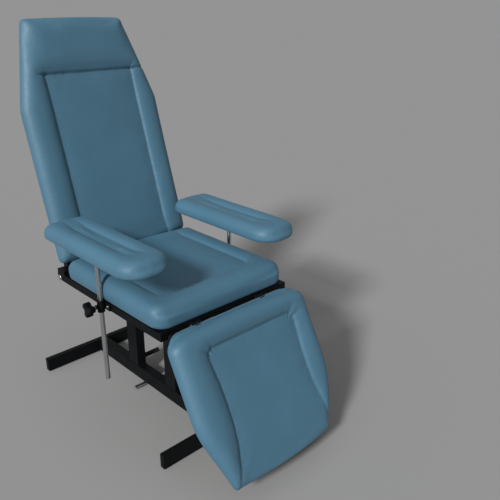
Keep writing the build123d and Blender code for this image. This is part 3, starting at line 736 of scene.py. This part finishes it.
def draw_out(local, padding, free):
    """Swells the sides, draws the ends out or in and lifts the face, where the cover is free."""
    panel = padding.panel
    bulge = smooth_step(1 - np.abs(local[:, 1] - padding.tail) / END_RUN)
    nip = smooth_step(1 - np.abs(local[:, 1] - padding.head) / TOP_RUN)
    thick = panel.high[2] - panel.low[2]
    rise = smooth_step((local[:, 2] - panel.low[2]) / (RISE_SHARE * thick))
    side = smooth_step(1 - inside(local[:, :2], padding.sides) / SIDE_RUN) * free
    swell = padding.swell * side * (LOW_SWELL + (1 - LOW_SWELL) * rise)
    local[:, 0] += np.sign(local[:, 0]) * swell
    local[:, 1] -= padding.towards * (padding.reach * bulge + padding.tuck * nip) * free
    local[:, 2] += padding.lift * rise


FOLDS = 9             # folds in a full turn about a corner
FOLD_MIDDLE, FOLD_SPREAD = 0.8, 0.7  # angle at which they are highest, and how fast they fade
FOLD_REACH = 0.028
FOLD_HEIGHT = 1.6     # against the height of the gathers


def corner_folds(local, padding):
    """Short folds that run out from the corners of the sunken middle."""
    total = np.zeros(len(local))
    for side in (-1, 1):
        centre = np.array((padding.shift + side * (padding.half - padding.corner),
                           padding.end - padding.towards * padding.corner))
        offset = local[:, :2] - centre
        far = np.linalg.norm(offset, axis=1)
        turn = np.arctan2(offset[:, 1] * padding.towards, offset[:, 0] * side)
        fan = np.sin(turn * FOLDS + side) * np.exp(-((turn - FOLD_MIDDLE) / FOLD_SPREAD) ** 2)
        total += fan * np.exp(-((far - padding.corner) / FOLD_REACH) ** 2)
    return total * padding.pucker * FOLD_HEIGHT


def upholster(name, node, board, body, padding, look, seed):
    """One finished cushion in place of its plain solid."""
    made = pad_body(name, padding, look)
    made = fill_pad(made, padding, look)
    made = sew_pad(made, padding, look, board, seed)
    finished(made, body, "blue_vinyl")
    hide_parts(node)
    return made


# ---- Geometry node trees for what repeats ------------------------------------------------------

class Tree(Nodes):
    """Geometry node tree with named inputs, run on one object and kept as a mesh."""

    def __init__(self, name, **inputs):
        self.group = bpy.data.node_groups.new(name, "GeometryNodeTree")
        super().__init__(self.group)
        face = self.group.interface
        face.new_socket("Geometry", in_out="INPUT", socket_type="NodeSocketGeometry")
        self.keys = {}
        for label, kind in inputs.items():
            made = face.new_socket(label, in_out="INPUT", socket_type="NodeSocket" + kind)
            self.keys[label] = made.identifier
        face.new_socket("Geometry", in_out="OUTPUT", socket_type="NodeSocketGeometry")
        self.given = self.add("NodeGroupInput").outputs
        self.result = self.add("NodeGroupOutput").inputs

    def spread_out(self, points, shape, turn, scale):
        """Copies of a shape on points, realised and given their material."""
        placed = self.add("GeometryNodeInstanceOnPoints",
                          {"Points": points, "Instance": shape, "Rotation": turn,
                           "Scale": scale})
        real = self.add("GeometryNodeRealizeInstances", {"Geometry": placed.outputs[0]})
        last = self.add("GeometryNodeSetMaterial", {"Geometry": real.outputs[0],
                                                    "Material": self.given["Material"]})
        self.feed(self.result, {0: last.outputs[0]})

    def facing(self, along=None):
        """Rotation with Z on the input Facing, and X on a direction where one is given."""
        up = self.add("FunctionNodeAlignRotationToVector",
                      {"Rotation": (0, 0, 0), "Vector": self.given["Facing"]}, axis="Z")
        if along is None:
            return up.outputs[0]
        both = self.add("FunctionNodeAlignRotationToVector",
                        {"Rotation": up.outputs[0], "Vector": along}, axis="X",
                        pivot_axis="Z")
        return both.outputs[0]

    def run(self, made, **values):
        """Result of the tree on an object, as that object's own mesh."""
        modifier = made.modifiers.new("Repeat", "NODES")
        modifier.node_group = self.group
        for label, value in values.items():
            modifier[self.keys[label]] = value
        return baked(made)


def path_tree(name, ripples):
    """Small shapes at an even spacing along paths: ripples of weld, or bars."""
    tree = Tree(name, Spacing="Float", Size="Vector", Facing="Vector", Uneven="Float",
                Seed="Int", Material="Material")
    curve = tree.add("GeometryNodeMeshToCurve", {"Mesh": tree.given["Geometry"]})
    even = tree.add("GeometryNodeResampleCurve", {"Curve": curve.outputs[0],
                                                  "Length": tree.given["Spacing"]},
                    mode="LENGTH")
    if ripples:
        shape = tree.add("GeometryNodeMeshUVSphere", {"Segments": 8, "Rings": 5,
                                                      "Radius": 1.0})
    else:
        shape = tree.add("GeometryNodeMeshCube", {"Size": (2.0, 2.0, 2.0)})
    low = tree.add("ShaderNodeMath", {0: 1.0, 1: tree.given["Uneven"]}, operation="SUBTRACT")
    high = tree.add("ShaderNodeMath", {0: 1.0, 1: tree.given["Uneven"]}, operation="ADD")
    chance = tree.add("FunctionNodeRandomValue",
                      {2: low.outputs[0], 3: high.outputs[0], "Seed": tree.given["Seed"]},
                      data_type="FLOAT")
    size = tree.add("ShaderNodeVectorMath",
                    {0: tree.given["Size"], "Scale": chance.outputs[1]}, operation="SCALE")
    way = tree.add("GeometryNodeInputTangent")
    tree.spread_out(even.outputs[0], shape.outputs["Mesh"], tree.facing(way.outputs[0]),
                    size.outputs[0])
    return tree


def head_tree(name):
    """One shape on each point, facing one way and turned by chance."""
    tree = Tree(name, Shape="Object", Facing="Vector", Size="Float", Seed="Int",
                Material="Material")
    info = tree.add("GeometryNodeObjectInfo", {"Object": tree.given["Shape"]})
    chance = tree.add("FunctionNodeRandomValue", {3: math.tau, "Seed": tree.given["Seed"]},
                      data_type="FLOAT")
    spin = tree.add("ShaderNodeCombineXYZ", {"Z": chance.outputs[1]})
    turned_by = tree.add("FunctionNodeEulerToRotation", {0: spin.outputs[0]})
    turn = tree.add("FunctionNodeRotateRotation",
                    {"Rotation": tree.facing(), "Rotate By": turned_by.outputs[0]},
                    rotation_space="LOCAL")
    tree.spread_out(tree.given["Geometry"], info.outputs["Geometry"], turn.outputs[0],
                    tree.given["Size"])
    return tree


def path_object(name, paths):
    """Wire object of closed paths, each a list of points."""
    mesh = bpy.data.meshes.new(name)
    points, edges = [], []
    for path in paths:
        first = len(points)
        points += [tuple(p) for p in path]
        edges += [(first + k, first + (k + 1) % len(path)) for k in range(len(path))]
    mesh.from_pydata(points, edges, [])
    return new_object(name, mesh)


def islands(node):
    """Vertices of each separate solid of a node."""
    bm = bmesh.new()
    bm.from_mesh(frame["nodes"][node].data)
    bmesh.ops.remove_doubles(bm, verts=bm.verts, dist=0.00001)
    found, seen = [], set()
    for start in bm.verts:
        if start in seen:
            continue
        seen.add(start)
        queue, group = [start], []
        while queue:
            vert = queue.pop()
            group.append(tuple(vert.co))
            for edge in vert.link_edges:
                other = edge.other_vert(vert)
                if other not in seen:
                    seen.add(other)
                    queue.append(other)
        found.append(np.array(group))
    bm.free()
    return found


SLOT_HALF = 0.3  # half the width of a cross recess against the length of its arms


def rim(kind, size, turn):
    """Radius of a ring of a turned shape: round, six-sided or cross-shaped."""
    if kind == "hex":
        return size / math.cos((turn + math.pi / 6) % (math.pi / 3) - math.pi / 6)
    if kind == "cross":
        off = abs((turn + math.pi / 4) % (math.pi / 2) - math.pi / 4)
        return min(size, size * SLOT_HALF / max(math.sin(off), 0.01))
    return size


def turned(name, rings, count):
    """Closed turned shape about Z from rings of kind, radius and height, with count spokes."""
    bm = bmesh.new()
    grid = []
    for kind, size, height in rings:
        spokes = [(rim(kind, size, math.tau * k / count), math.tau * k / count)
                  for k in range(count)]
        grid.append([bm.verts.new((radius * math.cos(turn), radius * math.sin(turn), height))
                     for radius, turn in spokes])
    skin(bm, grid)
    bm.faces.new(grid[0][::-1])
    bm.faces.new(grid[-1])
    bmesh.ops.recalc_face_normals(bm, faces=bm.faces)
    return object_from(bm, name)


# ---- Panels of the chair -----------------------------------------------------------------------

def seat_panel():
    """Level panel on the seat's underside."""
    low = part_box("seat_cushion")[0]
    return Panel((0, 0, low.z), (0, 1, 0), (0, 0, 1), "seat_cushion")


def tilted_panel(joint_name, tilt, node):
    """Panel hung on a joint and leaning back from the vertical."""
    along = (0, math.sin(tilt), math.cos(tilt))
    out = (0, -math.cos(tilt), math.sin(tilt))
    return Panel(joint(joint_name)["pos_m"], along, out, node)


def back_panel(tilt):
    """Panel of the back, hung on its recline joint."""
    return tilted_panel("backrest_recline", tilt, "backrest_cushion")


def leg_panel(tilt):
    """Panel of the leg rest, hung on its lift joint."""
    return tilted_panel("leg_rest_lift", tilt, "leg_rest_cushion")


def arm_panel(side):
    """Level panel on the underside of an arm pad."""
    low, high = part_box(side + "_arm_pad")
    return Panel(((low.x + high.x) / 2, 0, low.z), (0, 1, 0), (0, 0, 1), side + "_arm_pad")


# ---- Steps of the work -------------------------------------------------------------------------

class CHAIR_OT_finishes(bpy.types.Operator):
    """Give every carried-over metal, wood and plastic piece its finish"""
    bl_idname = "chair.finishes"
    bl_label = "Finishes"

    def execute(self, context):
        make_finishes(context.scene.chair_finishes)
        slots = {row["node"]: row["material_slot"] for row in frame["record"]["subparts"]}
        for node, made in frame["nodes"].items():
            dress(made, slots[node])
        return {"FINISHED"}


class CHAIR_OT_seat(bpy.types.Operator):
    """Upholster the seat"""
    bl_idname = "chair.seat"
    bl_label = "Seat cushion"

    def execute(self, context):
        look = context.scene.chair_upholstery
        panel = seat_panel()
        padding = Padding(panel, half=0.180, end=panel.low[1] + 0.084, towards=-1, corner=0.032,
                          depth=0.015, roll=0.036, edge=0.031, top_edge=0.038,
                          open_edge=0.011, soft=0.45, crown=0.003, under=0.005,
                          open_fade=0.06, reach=-0.006, tuck=-0.006, swell=0.005,
                          lift=0.005)
        upholster("seat_upholstery", "seat_cushion", "seat_board", "base", padding, look,
                  seed=11)
        return {"FINISHED"}


class CHAIR_OT_back(bpy.types.Operator):
    """Upholster the back"""
    bl_idname = "chair.back"
    bl_label = "Back cushion"

    def execute(self, context):
        look = context.scene.chair_upholstery
        panel = back_panel(look.back_tilt)
        padding = Padding(panel, half=0.163, end=panel.low[1] + 0.604, towards=1, corner=0.008,
                          depth=0.015, roll=0.042, edge=0.036, top_edge=0.013,
                          open_edge=0.008, soft=0.15, crown=0.003, shift=0.005,
                          cross_seam=0.004, reach=0.008, tuck=-0.002, swell=0.010)
        upholster("back_upholstery", "backrest_cushion", "back_board", "backrest", padding,
                  look, seed=23)
        return {"FINISHED"}


class CHAIR_OT_leg_rest(bpy.types.Operator):
    """Upholster the leg rest"""
    bl_idname = "chair.leg_rest"
    bl_label = "Leg rest cushion"

    def execute(self, context):
        look = context.scene.chair_upholstery
        panel = leg_panel(look.leg_tilt)
        padding = Padding(panel, half=0.176, end=panel.high[1] - 0.080, towards=1, corner=0.028,
                          depth=0.016, roll=0.046, edge=0.036, top_edge=0.042,
                          open_edge=0.009, soft=0.45, taper=0.055, bow=0.022, shift=0.012,
                          crown=0.002, pucker=0.0009, reach=0.005, tuck=0.008,
                          swell=0.010)
        upholster("leg_upholstery", "leg_rest_cushion", "leg_board", "leg_rest", padding,
                  look, seed=37)
        return {"FINISHED"}


class CHAIR_OT_arms(bpy.types.Operator):
    """Upholster both arm pads"""
    bl_idname = "chair.arms"
    bl_label = "Arm pads"

    def execute(self, context):
        look = context.scene.chair_upholstery
        for number, side in enumerate(("right", "left")):
            panel = arm_panel(side)
            padding = Padding(panel, half=0.020, end=panel.low[1] + 0.036, towards=-1,
                              corner=0.018, depth=0.013, roll=0.030, edge=0.030,
                              top_edge=0.030, open_edge=0.022, soft=0.25, fade=0.12,
                              open_fade=0.16, under=0.010, pucker=0.0003)
            upholster(side + "_arm_upholstery", side + "_arm_pad", side + "_arm_board",
                      side + "_pad", padding, look, seed=41 + number * 6)
        return {"FINISHED"}


class CHAIR_OT_hems(bpy.types.Operator):
    """Turn the covers over the backs of the boards and staple them"""
    bl_idname = "chair.hems"
    bl_label = "Hems and staples"

    def execute(self, context):
        look = context.scene.chair_upholstery
        staples = path_tree("staples_along_path", ripples=False)
        panels = (("seat", seat_panel(), "base"),
                  ("back", back_panel(look.back_tilt), "backrest"),
                  ("leg", leg_panel(look.leg_tilt), "leg_rest"),
                  ("right_arm", arm_panel("right"), "right_pad"),
                  ("left_arm", arm_panel("left"), "left_pad"))
        for name, panel, body in panels:
            start = ARM_HEM_START if "arm" in name else HEM_START
            hem = hem_band(name + "_hem", panel, start, look)
            finished(hem, body, "blue_vinyl")
            flat = panel.inner([look.hem - STAPLE_INSET], STAPLE_PATH_POINTS)[0]
            height = panel.low[2] - HEM_THICK - STAPLE_RISE
            path = panel.world(np.column_stack([flat, np.full(len(flat), height)]))
            row = path_object(name + "_staples", [path])
            row = staples.run(row, Spacing=look.staple_pitch, Size=STAPLE_HALVES,
                              Facing=tuple(-panel.axes[2]), Uneven=STAPLE_UNEVEN,
                              Seed=STAPLE_SEED, Material=FINISHES["bright"])
            finished(row, body, "bright_steel", smooth=False)
        return {"FINISHED"}


HEM_THICK = 1.2 * MM
HEM_START = 6.0 * MM        # how far in the hem starts
ARM_HEM_START = 14.0 * MM   # the same on the arm pads, whose edges are rounder
HEM_POINTS = 480
HEM_ROWS = 7
STAPLE_INSET = 8.0 * MM     # from the hem's inner edge
STAPLE_RISE = 0.2 * MM
STAPLE_PATH_POINTS = 240
STAPLE_HALVES = 5.2 * MM, 0.6 * MM, 0.4 * MM
STAPLE_UNEVEN, STAPLE_SEED = 0.06, 5
HEM_FLAT, HEM_WAVE = 0.55, 0.45    # shares of its thickness that lie flat and are gathered
HEM_GATHERS = 67                   # gathers all round
HEM_STRAY, HEM_STRAYS = 2, 5       # how far, and how often, they stray from an even spacing


def hem_band(name, panel, start, look):
    """Flat ring of cover on the back of a board, gathered round its corners."""
    rings = panel.inner(np.linspace(start, look.hem, HEM_ROWS), HEM_POINTS)
    turn = np.linspace(0, math.tau, HEM_POINTS, endpoint=False)
    wave = 0.5 + 0.5 * np.sin(turn * HEM_GATHERS + HEM_STRAY * np.sin(turn * HEM_STRAYS))
    bm = bmesh.new()
    layers = []
    for side in (0, 1):
        loops = []
        for k, flat in enumerate(rings):
            rise = HEM_THICK * (HEM_FLAT + HEM_WAVE * wave * (k > 0)) if side else 0.0
            ring = np.column_stack([flat, panel.low[2] - rise - np.zeros(HEM_POINTS)])
            loops.append([bm.verts.new(p) for p in panel.world(ring)])
        layers.append(loops)
    upper, lower = layers
    around = lower + upper[::-1]
    skin(bm, around + around[:1])
    bmesh.ops.recalc_face_normals(bm, faces=bm.faces)
    return object_from(bm, name)


class Upright:
    """World axes, for tubes that stand square."""

    origin = np.zeros(3)
    axes = np.eye(3)
    local = Panel.local
    world = Panel.world
    box = Panel.box


MEETING_GAP = 1.2 * MM   # tubes this close count as meeting
LEAST_FACE = 4.0 * MM    # on a face at least this wide
RIPPLE_STEP = 0.95       # spacing of the ripples of a weld against their radius
RIPPLE_LENGTH = 0.8      # their length along the seam, against the same
RIPPLE_UNEVEN = 0.14


def seam_loops(panel, first, second):
    """Paths round the face where two square tubes meet."""
    (low_a, high_a), (low_b, high_b) = panel.box(first), panel.box(second)
    low, high = np.maximum(low_a, low_b), np.minimum(high_a, high_b)
    gap = high - low
    axis = int(np.argmin(gap))
    if abs(gap[axis]) > MEETING_GAP or np.delete(gap, axis).min() < LEAST_FACE:
        raise RuntimeError(first + " does not meet " + second)
    u, v = [k for k in range(3) if k != axis]
    corners = []
    for a, b in ((low[u], low[v]), (high[u], low[v]), (high[u], high[v]), (low[u], high[v])):
        point = np.zeros(3)
        point[axis], point[u], point[v] = (low[axis] + high[axis]) / 2, a, b
        corners.append(point)
    return [panel.world(np.array(corners))]


class CHAIR_OT_welds(bpy.types.Operator):
    """Run weld beads round the joints of the tubes"""
    bl_idname = "chair.welds"
    bl_label = "Welds"

    def execute(self, context):
        look = context.scene.chair_finishes
        upholstery = context.scene.chair_upholstery
        tree = path_tree("weld_ripples_along_path", ripples=True)
        back = back_panel(upholstery.back_tilt)
        leg = leg_panel(upholstery.leg_tilt)
        groups = (("base", Upright(), BASE_JOINTS), ("backrest", back, BACK_JOINTS),
                  ("leg_rest", leg, LEG_JOINTS))
        for number, (body, panel, pairs) in enumerate(groups):
            paths = [path for pair in pairs for path in seam_loops(panel, *pair)]
            made = path_object(body + "_welds", paths)
            size = look.weld
            made = tree.run(made, Spacing=size * RIPPLE_STEP,
                            Size=(size * RIPPLE_LENGTH, size, size), Facing=(0.0, 0.0, 1.0),
                            Uneven=RIPPLE_UNEVEN, Seed=number + 1, Material=FINISHES["paint"])
            finished(made, body, "black_paint")
        return {"FINISHED"}


BASE_JOINTS = (
    ("rear_post", "base_beam"), ("front_post", "base_beam"), ("rear_post", "seat_spine"),
    ("front_post", "seat_spine"), ("rear_foot", "base_beam"), ("front_foot", "base_beam"),
    ("seat_spine", "rear_cross_tube"), ("seat_spine", "front_cross_tube"),
    ("front_cross_tube", "seat_rail_right"), ("front_cross_tube", "seat_rail_left"),
    ("rear_cross_tube", "seat_rail_right"), ("rear_cross_tube", "seat_rail_left"),
)
BACK_JOINTS = (
    ("back_upper_cross_tube", "back_side_tube_right"),
    ("back_upper_cross_tube", "back_side_tube_left"),
    ("back_lower_cross_tube", "back_side_tube_right"),
    ("back_lower_cross_tube", "back_side_tube_left"),
)
LEG_JOINTS = (("leg_cross_bar", "leg_arm_right"), ("leg_cross_bar", "leg_arm_left"))


class CHAIR_OT_screws(bpy.types.Operator):
    """Drive the screws of the boards and the bolts of the arm clamps"""
    bl_idname = "chair.screws"
    bl_label = "Screws"

    def execute(self, context):
        look = context.scene.chair_upholstery
        tree = head_tree("screws_on_points")
        back = back_panel(look.back_tilt)
        leg = leg_panel(look.leg_tilt)
        rows = (("seat_board_screws", "base", (0, 0, -1)),
                ("back_board_screws", "backrest", -back.axes[2]),
                ("leg_board_screws", "leg_rest", -leg.axes[2]))
        for seed, (node, body, way) in enumerate(rows):
            finish_screws(tree, node, node, body, islands(node), way, pan_screw, seed)
        for side, sign in (("left", 1), ("right", -1)):
            bolts = [solid for solid in islands("arm_clamp_bolts") if solid[0, 0] * sign > 0]
            made = finish_screws(tree, side + "_clamp_bolts", "arm_clamp_bolts", "base", bolts,
                                 (sign, 0, 0), hex_bolt, sign + 9)
            made.name = side + "_clamp_hex_bolts"
        return {"FINISHED"}


def middle_of(solid, way):
    """Point on the axis of a screw at the top of its head."""
    flat = solid - np.outer(solid @ way, way)
    return (flat.min(0) + flat.max(0)) / 2 + way * (solid @ way).max()


def finish_screws(tree, name, node, body, solids, way, maker, seed):
    """Row of like screws in place of their plain solids."""
    way = np.array(way, float)
    mesh = bpy.data.meshes.new(name)
    mesh.from_pydata([tuple(middle_of(solid, way)) for solid in solids], [], [])
    made = new_object(name + "_detailed", mesh)
    shape = maker(np.ptp(solids[0] @ way))
    made = tree.run(made, Shape=shape, Facing=tuple(way), Size=1.0, Seed=seed,
                    Material=FINISHES["bright"])
    bpy.data.objects.remove(shape)
    finished(made, body, "bright_steel", smooth=False)
    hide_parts(node)
    return made


def pan_screw(length):
    """Cross-recessed pan-head screw, its top at the origin."""
    return turned("pan_screw", (
        ("round", 0.6 * MM, -length), ("round", 2.4 * MM, -length + 4 * MM),
        ("round", 2.4 * MM, -3.0 * MM), ("round", 5.0 * MM, -3.0 * MM),
        ("round", 4.95 * MM, -1.9 * MM), ("round", 4.4 * MM, -0.9 * MM),
        ("round", 3.4 * MM, -0.25 * MM), ("round", 2.9 * MM, -0.05 * MM),
        ("cross", 2.5 * MM, -0.05 * MM), ("cross", 2.3 * MM, -1.4 * MM),
        ("cross", 1.2 * MM, -2.2 * MM)), count=32)


def hex_bolt(length):
    """Hexagon bolt with a washer face, its top at the origin."""
    return turned("hex_bolt", (
        ("round", 2.6 * MM, -length), ("round", 2.95 * MM, -length + 0.6 * MM),
        ("round", 2.95 * MM, -4.0 * MM), ("round", 5.5 * MM, -4.0 * MM),
        ("round", 5.5 * MM, -3.2 * MM), ("hex", 4.6 * MM, -3.2 * MM),
        ("hex", 4.6 * MM, -0.5 * MM), ("round", 4.3 * MM, 0.0),
        ("round", 2.9 * MM, 0.0), ("round", 2.6 * MM, -0.25 * MM)), count=36)


class CHAIR_OT_studio(bpy.types.Operator):
    """Set up the floor, lamps and camera"""
    bl_idname = "chair.studio"
    bl_label = "Studio"

    def execute(self, context):
        look = context.scene.chair_studio
        floor_light = (sun("key_sun", KEY_SIDE, KEY_SPREAD, look.key)
                       + sun("fill_sun", FILL_SIDE, FILL_SPREAD, look.fill))
        make_floor(look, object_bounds()[0].z)
        make_sky(look, floor_light)
        view = context.scene.view_settings
        view.view_transform = "Standard"
        camera = new_object("camera", bpy.data.cameras.new("camera"))
        camera.data.lens = look.lens
        camera.data.sensor_width = SENSOR_WIDTH
        camera.data.dof.use_dof = False
        camera.location = look.stand
        camera.rotation_euler = (math.pi / 2 - look.elevation, 0.0, look.azimuth)
        context.scene.camera = camera
        return {"FINISHED"}


SENSOR_WIDTH = 36.0          # of the camera, in millimetres
KEY_SIDE, KEY_SPREAD = (-0.80, -0.30, 0.52), 9.0  # where a lamp stands, and its width in degrees
FILL_SIDE, FILL_SPREAD = (-0.3, -0.1, 1.0), 60.0
SKY_SIDE = -0.85, -0.2, 0.4  # brighter side of the even light
SKY_TURN = 0.7               # cosine from that side at which the light has changed fully
SKY_LEAST, SKY_GAIN = 0.45, 1.1  # sky on its darker side, and what the brighter side has on top
FLOOR_RADIUS, FLOOR_RINGS, FLOOR_SPOKES = 30.0, 12, 48


def sun(name, way, spread, strength):
    """Soft distant lamp shining from a direction; gives its light on the floor."""
    data = bpy.data.lights.new(name, "SUN")
    data.energy = strength
    data.angle = math.radians(spread)
    made = new_object(name, data)
    way = Vector(way).normalized()
    made.rotation_euler = way.to_track_quat("Z", "Y").to_euler()
    return strength * way.z / math.pi


def make_floor(look, height):
    """Wide round floor in one plain colour."""
    turns = [math.tau * k / FLOOR_SPOKES for k in range(FLOOR_SPOKES)]
    bm = bmesh.new()
    rings = []
    for ring in range(FLOOR_RINGS, 0, -1):
        radius = FLOOR_RADIUS * (ring / FLOOR_RINGS) ** 2
        rings.append([bm.verts.new((radius * math.cos(turn), radius * math.sin(turn), height))
                      for turn in turns])
    skin(bm, rings)
    bm.faces.new(rings[-1])
    floor = object_from(bm, "studio_floor")
    material = Shader("studio_floor").finish(Base_Color=tuple(look.ground), Roughness=1.0,
                                             Specular_IOR_Level=0.0)
    floor.data.materials.append(material)
    floor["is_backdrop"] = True


def sky_share(cosine):
    """Strength of the sky at an angle from its brighter side, where the even light is 1."""
    return SKY_LEAST + SKY_GAIN * smooth_step((cosine + SKY_TURN) / (2 * SKY_TURN))


def sky_on_floor(bright, steps=40):
    """Mean share of the sky that falls on the floor, summed over the upper half."""
    height, turn = np.meshgrid((np.arange(steps) + 0.5) / steps,
                               np.arange(2 * steps) * math.tau / (2 * steps))
    flat = np.sqrt(1 - height)
    facing = (flat * np.cos(turn) * bright.x + flat * np.sin(turn) * bright.y
              + np.sqrt(height) * bright.z)
    return float(sky_share(facing).mean())


def make_sky(look, floor_light):
    """Even light all round, behind a backdrop that carries the floor's colour on."""
    bright = Vector(SKY_SIDE).normalized()
    world = bpy.data.worlds.new("studio_sky")
    bpy.context.scene.world = world
    world.use_nodes = True
    tree = Nodes(world.node_tree)
    place = tree.add("ShaderNodeTexCoord").outputs["Generated"]
    side = tree.add("ShaderNodeVectorMath", {0: place, 1: bright}, operation="DOT_PRODUCT")
    slope = tree.add("ShaderNodeMapRange", {
        "Value": side.outputs["Value"], "From Min": -SKY_TURN, "From Max": SKY_TURN,
        "To Min": sky_share(-1.0) * look.sky, "To Max": sky_share(1.0) * look.sky},
        interpolation_type="SMOOTHSTEP")
    sky = tree.nodes["Background"]
    tree.feed(sky.inputs, {"Color": (1.0, 1.0, 1.0, 1.0), "Strength": slope.outputs["Result"]})
    backdrop = tree.add("ShaderNodeBackground", {
        "Color": tuple(look.ground), "Strength": floor_light + look.sky * sky_on_floor(bright)})
    path = tree.add("ShaderNodeLightPath").outputs
    seen = path["Is Camera Ray"]
    for kind in ("Is Glossy Ray", "Is Transmission Ray"):
        seen = tree.add("ShaderNodeMath", {0: seen, 1: path[kind]}, operation="MAXIMUM").outputs[0]
    both = tree.add("ShaderNodeMixShader", {0: seen, 1: sky.outputs[0], 2: backdrop.outputs[0]})
    tree.feed(tree.nodes["World Output"].inputs, {"Surface": both.outputs[0]})


# ---- Panel and registration --------------------------------------------------------------------

STEPS = (CHAIR_OT_finishes, CHAIR_OT_seat, CHAIR_OT_back, CHAIR_OT_leg_rest, CHAIR_OT_arms,
         CHAIR_OT_hems, CHAIR_OT_welds, CHAIR_OT_screws, CHAIR_OT_studio)
GROUPS = {"chair_upholstery": ChairUpholstery, "chair_finishes": ChairFinishes,
          "chair_studio": ChairStudio}


class CHAIR_PT_workshop(bpy.types.Panel):
    """Steps of the chair, in order"""
    bl_idname = "CHAIR_PT_workshop"
    bl_label = "Treatment Chair"
    bl_space_type = "VIEW_3D"
    bl_region_type = "UI"
    bl_category = "Chair"

    def draw(self, context):
        for step in STEPS:
            self.layout.operator(step.bl_idname)
        for name, group in GROUPS.items():
            box = self.layout.box()
            for prop in group.__annotations__:
                box.prop(getattr(context.scene, name), prop)


def register():
    """Adds the settings, the steps and the sidebar panel."""
    for group in GROUPS.values():
        bpy.utils.register_class(group)
    for step in STEPS:
        bpy.utils.register_class(step)
    bpy.utils.register_class(CHAIR_PT_workshop)
    for name, group in GROUPS.items():
        setattr(bpy.types.Scene, name, PointerProperty(type=group))


def unregister():
    """Takes them away again."""
    for name in GROUPS:
        delattr(bpy.types.Scene, name)
    bpy.utils.unregister_class(CHAIR_PT_workshop)
    for step in reversed(STEPS):
        bpy.utils.unregister_class(step)
    for group in GROUPS.values():
        bpy.utils.unregister_class(group)


def main():
    """Makes the whole chair and its studio."""
    register()
    for step in STEPS:
        area, name = step.bl_idname.split(".")
        getattr(getattr(bpy.ops, area), name)()


if __name__ == "__main__":
    main()
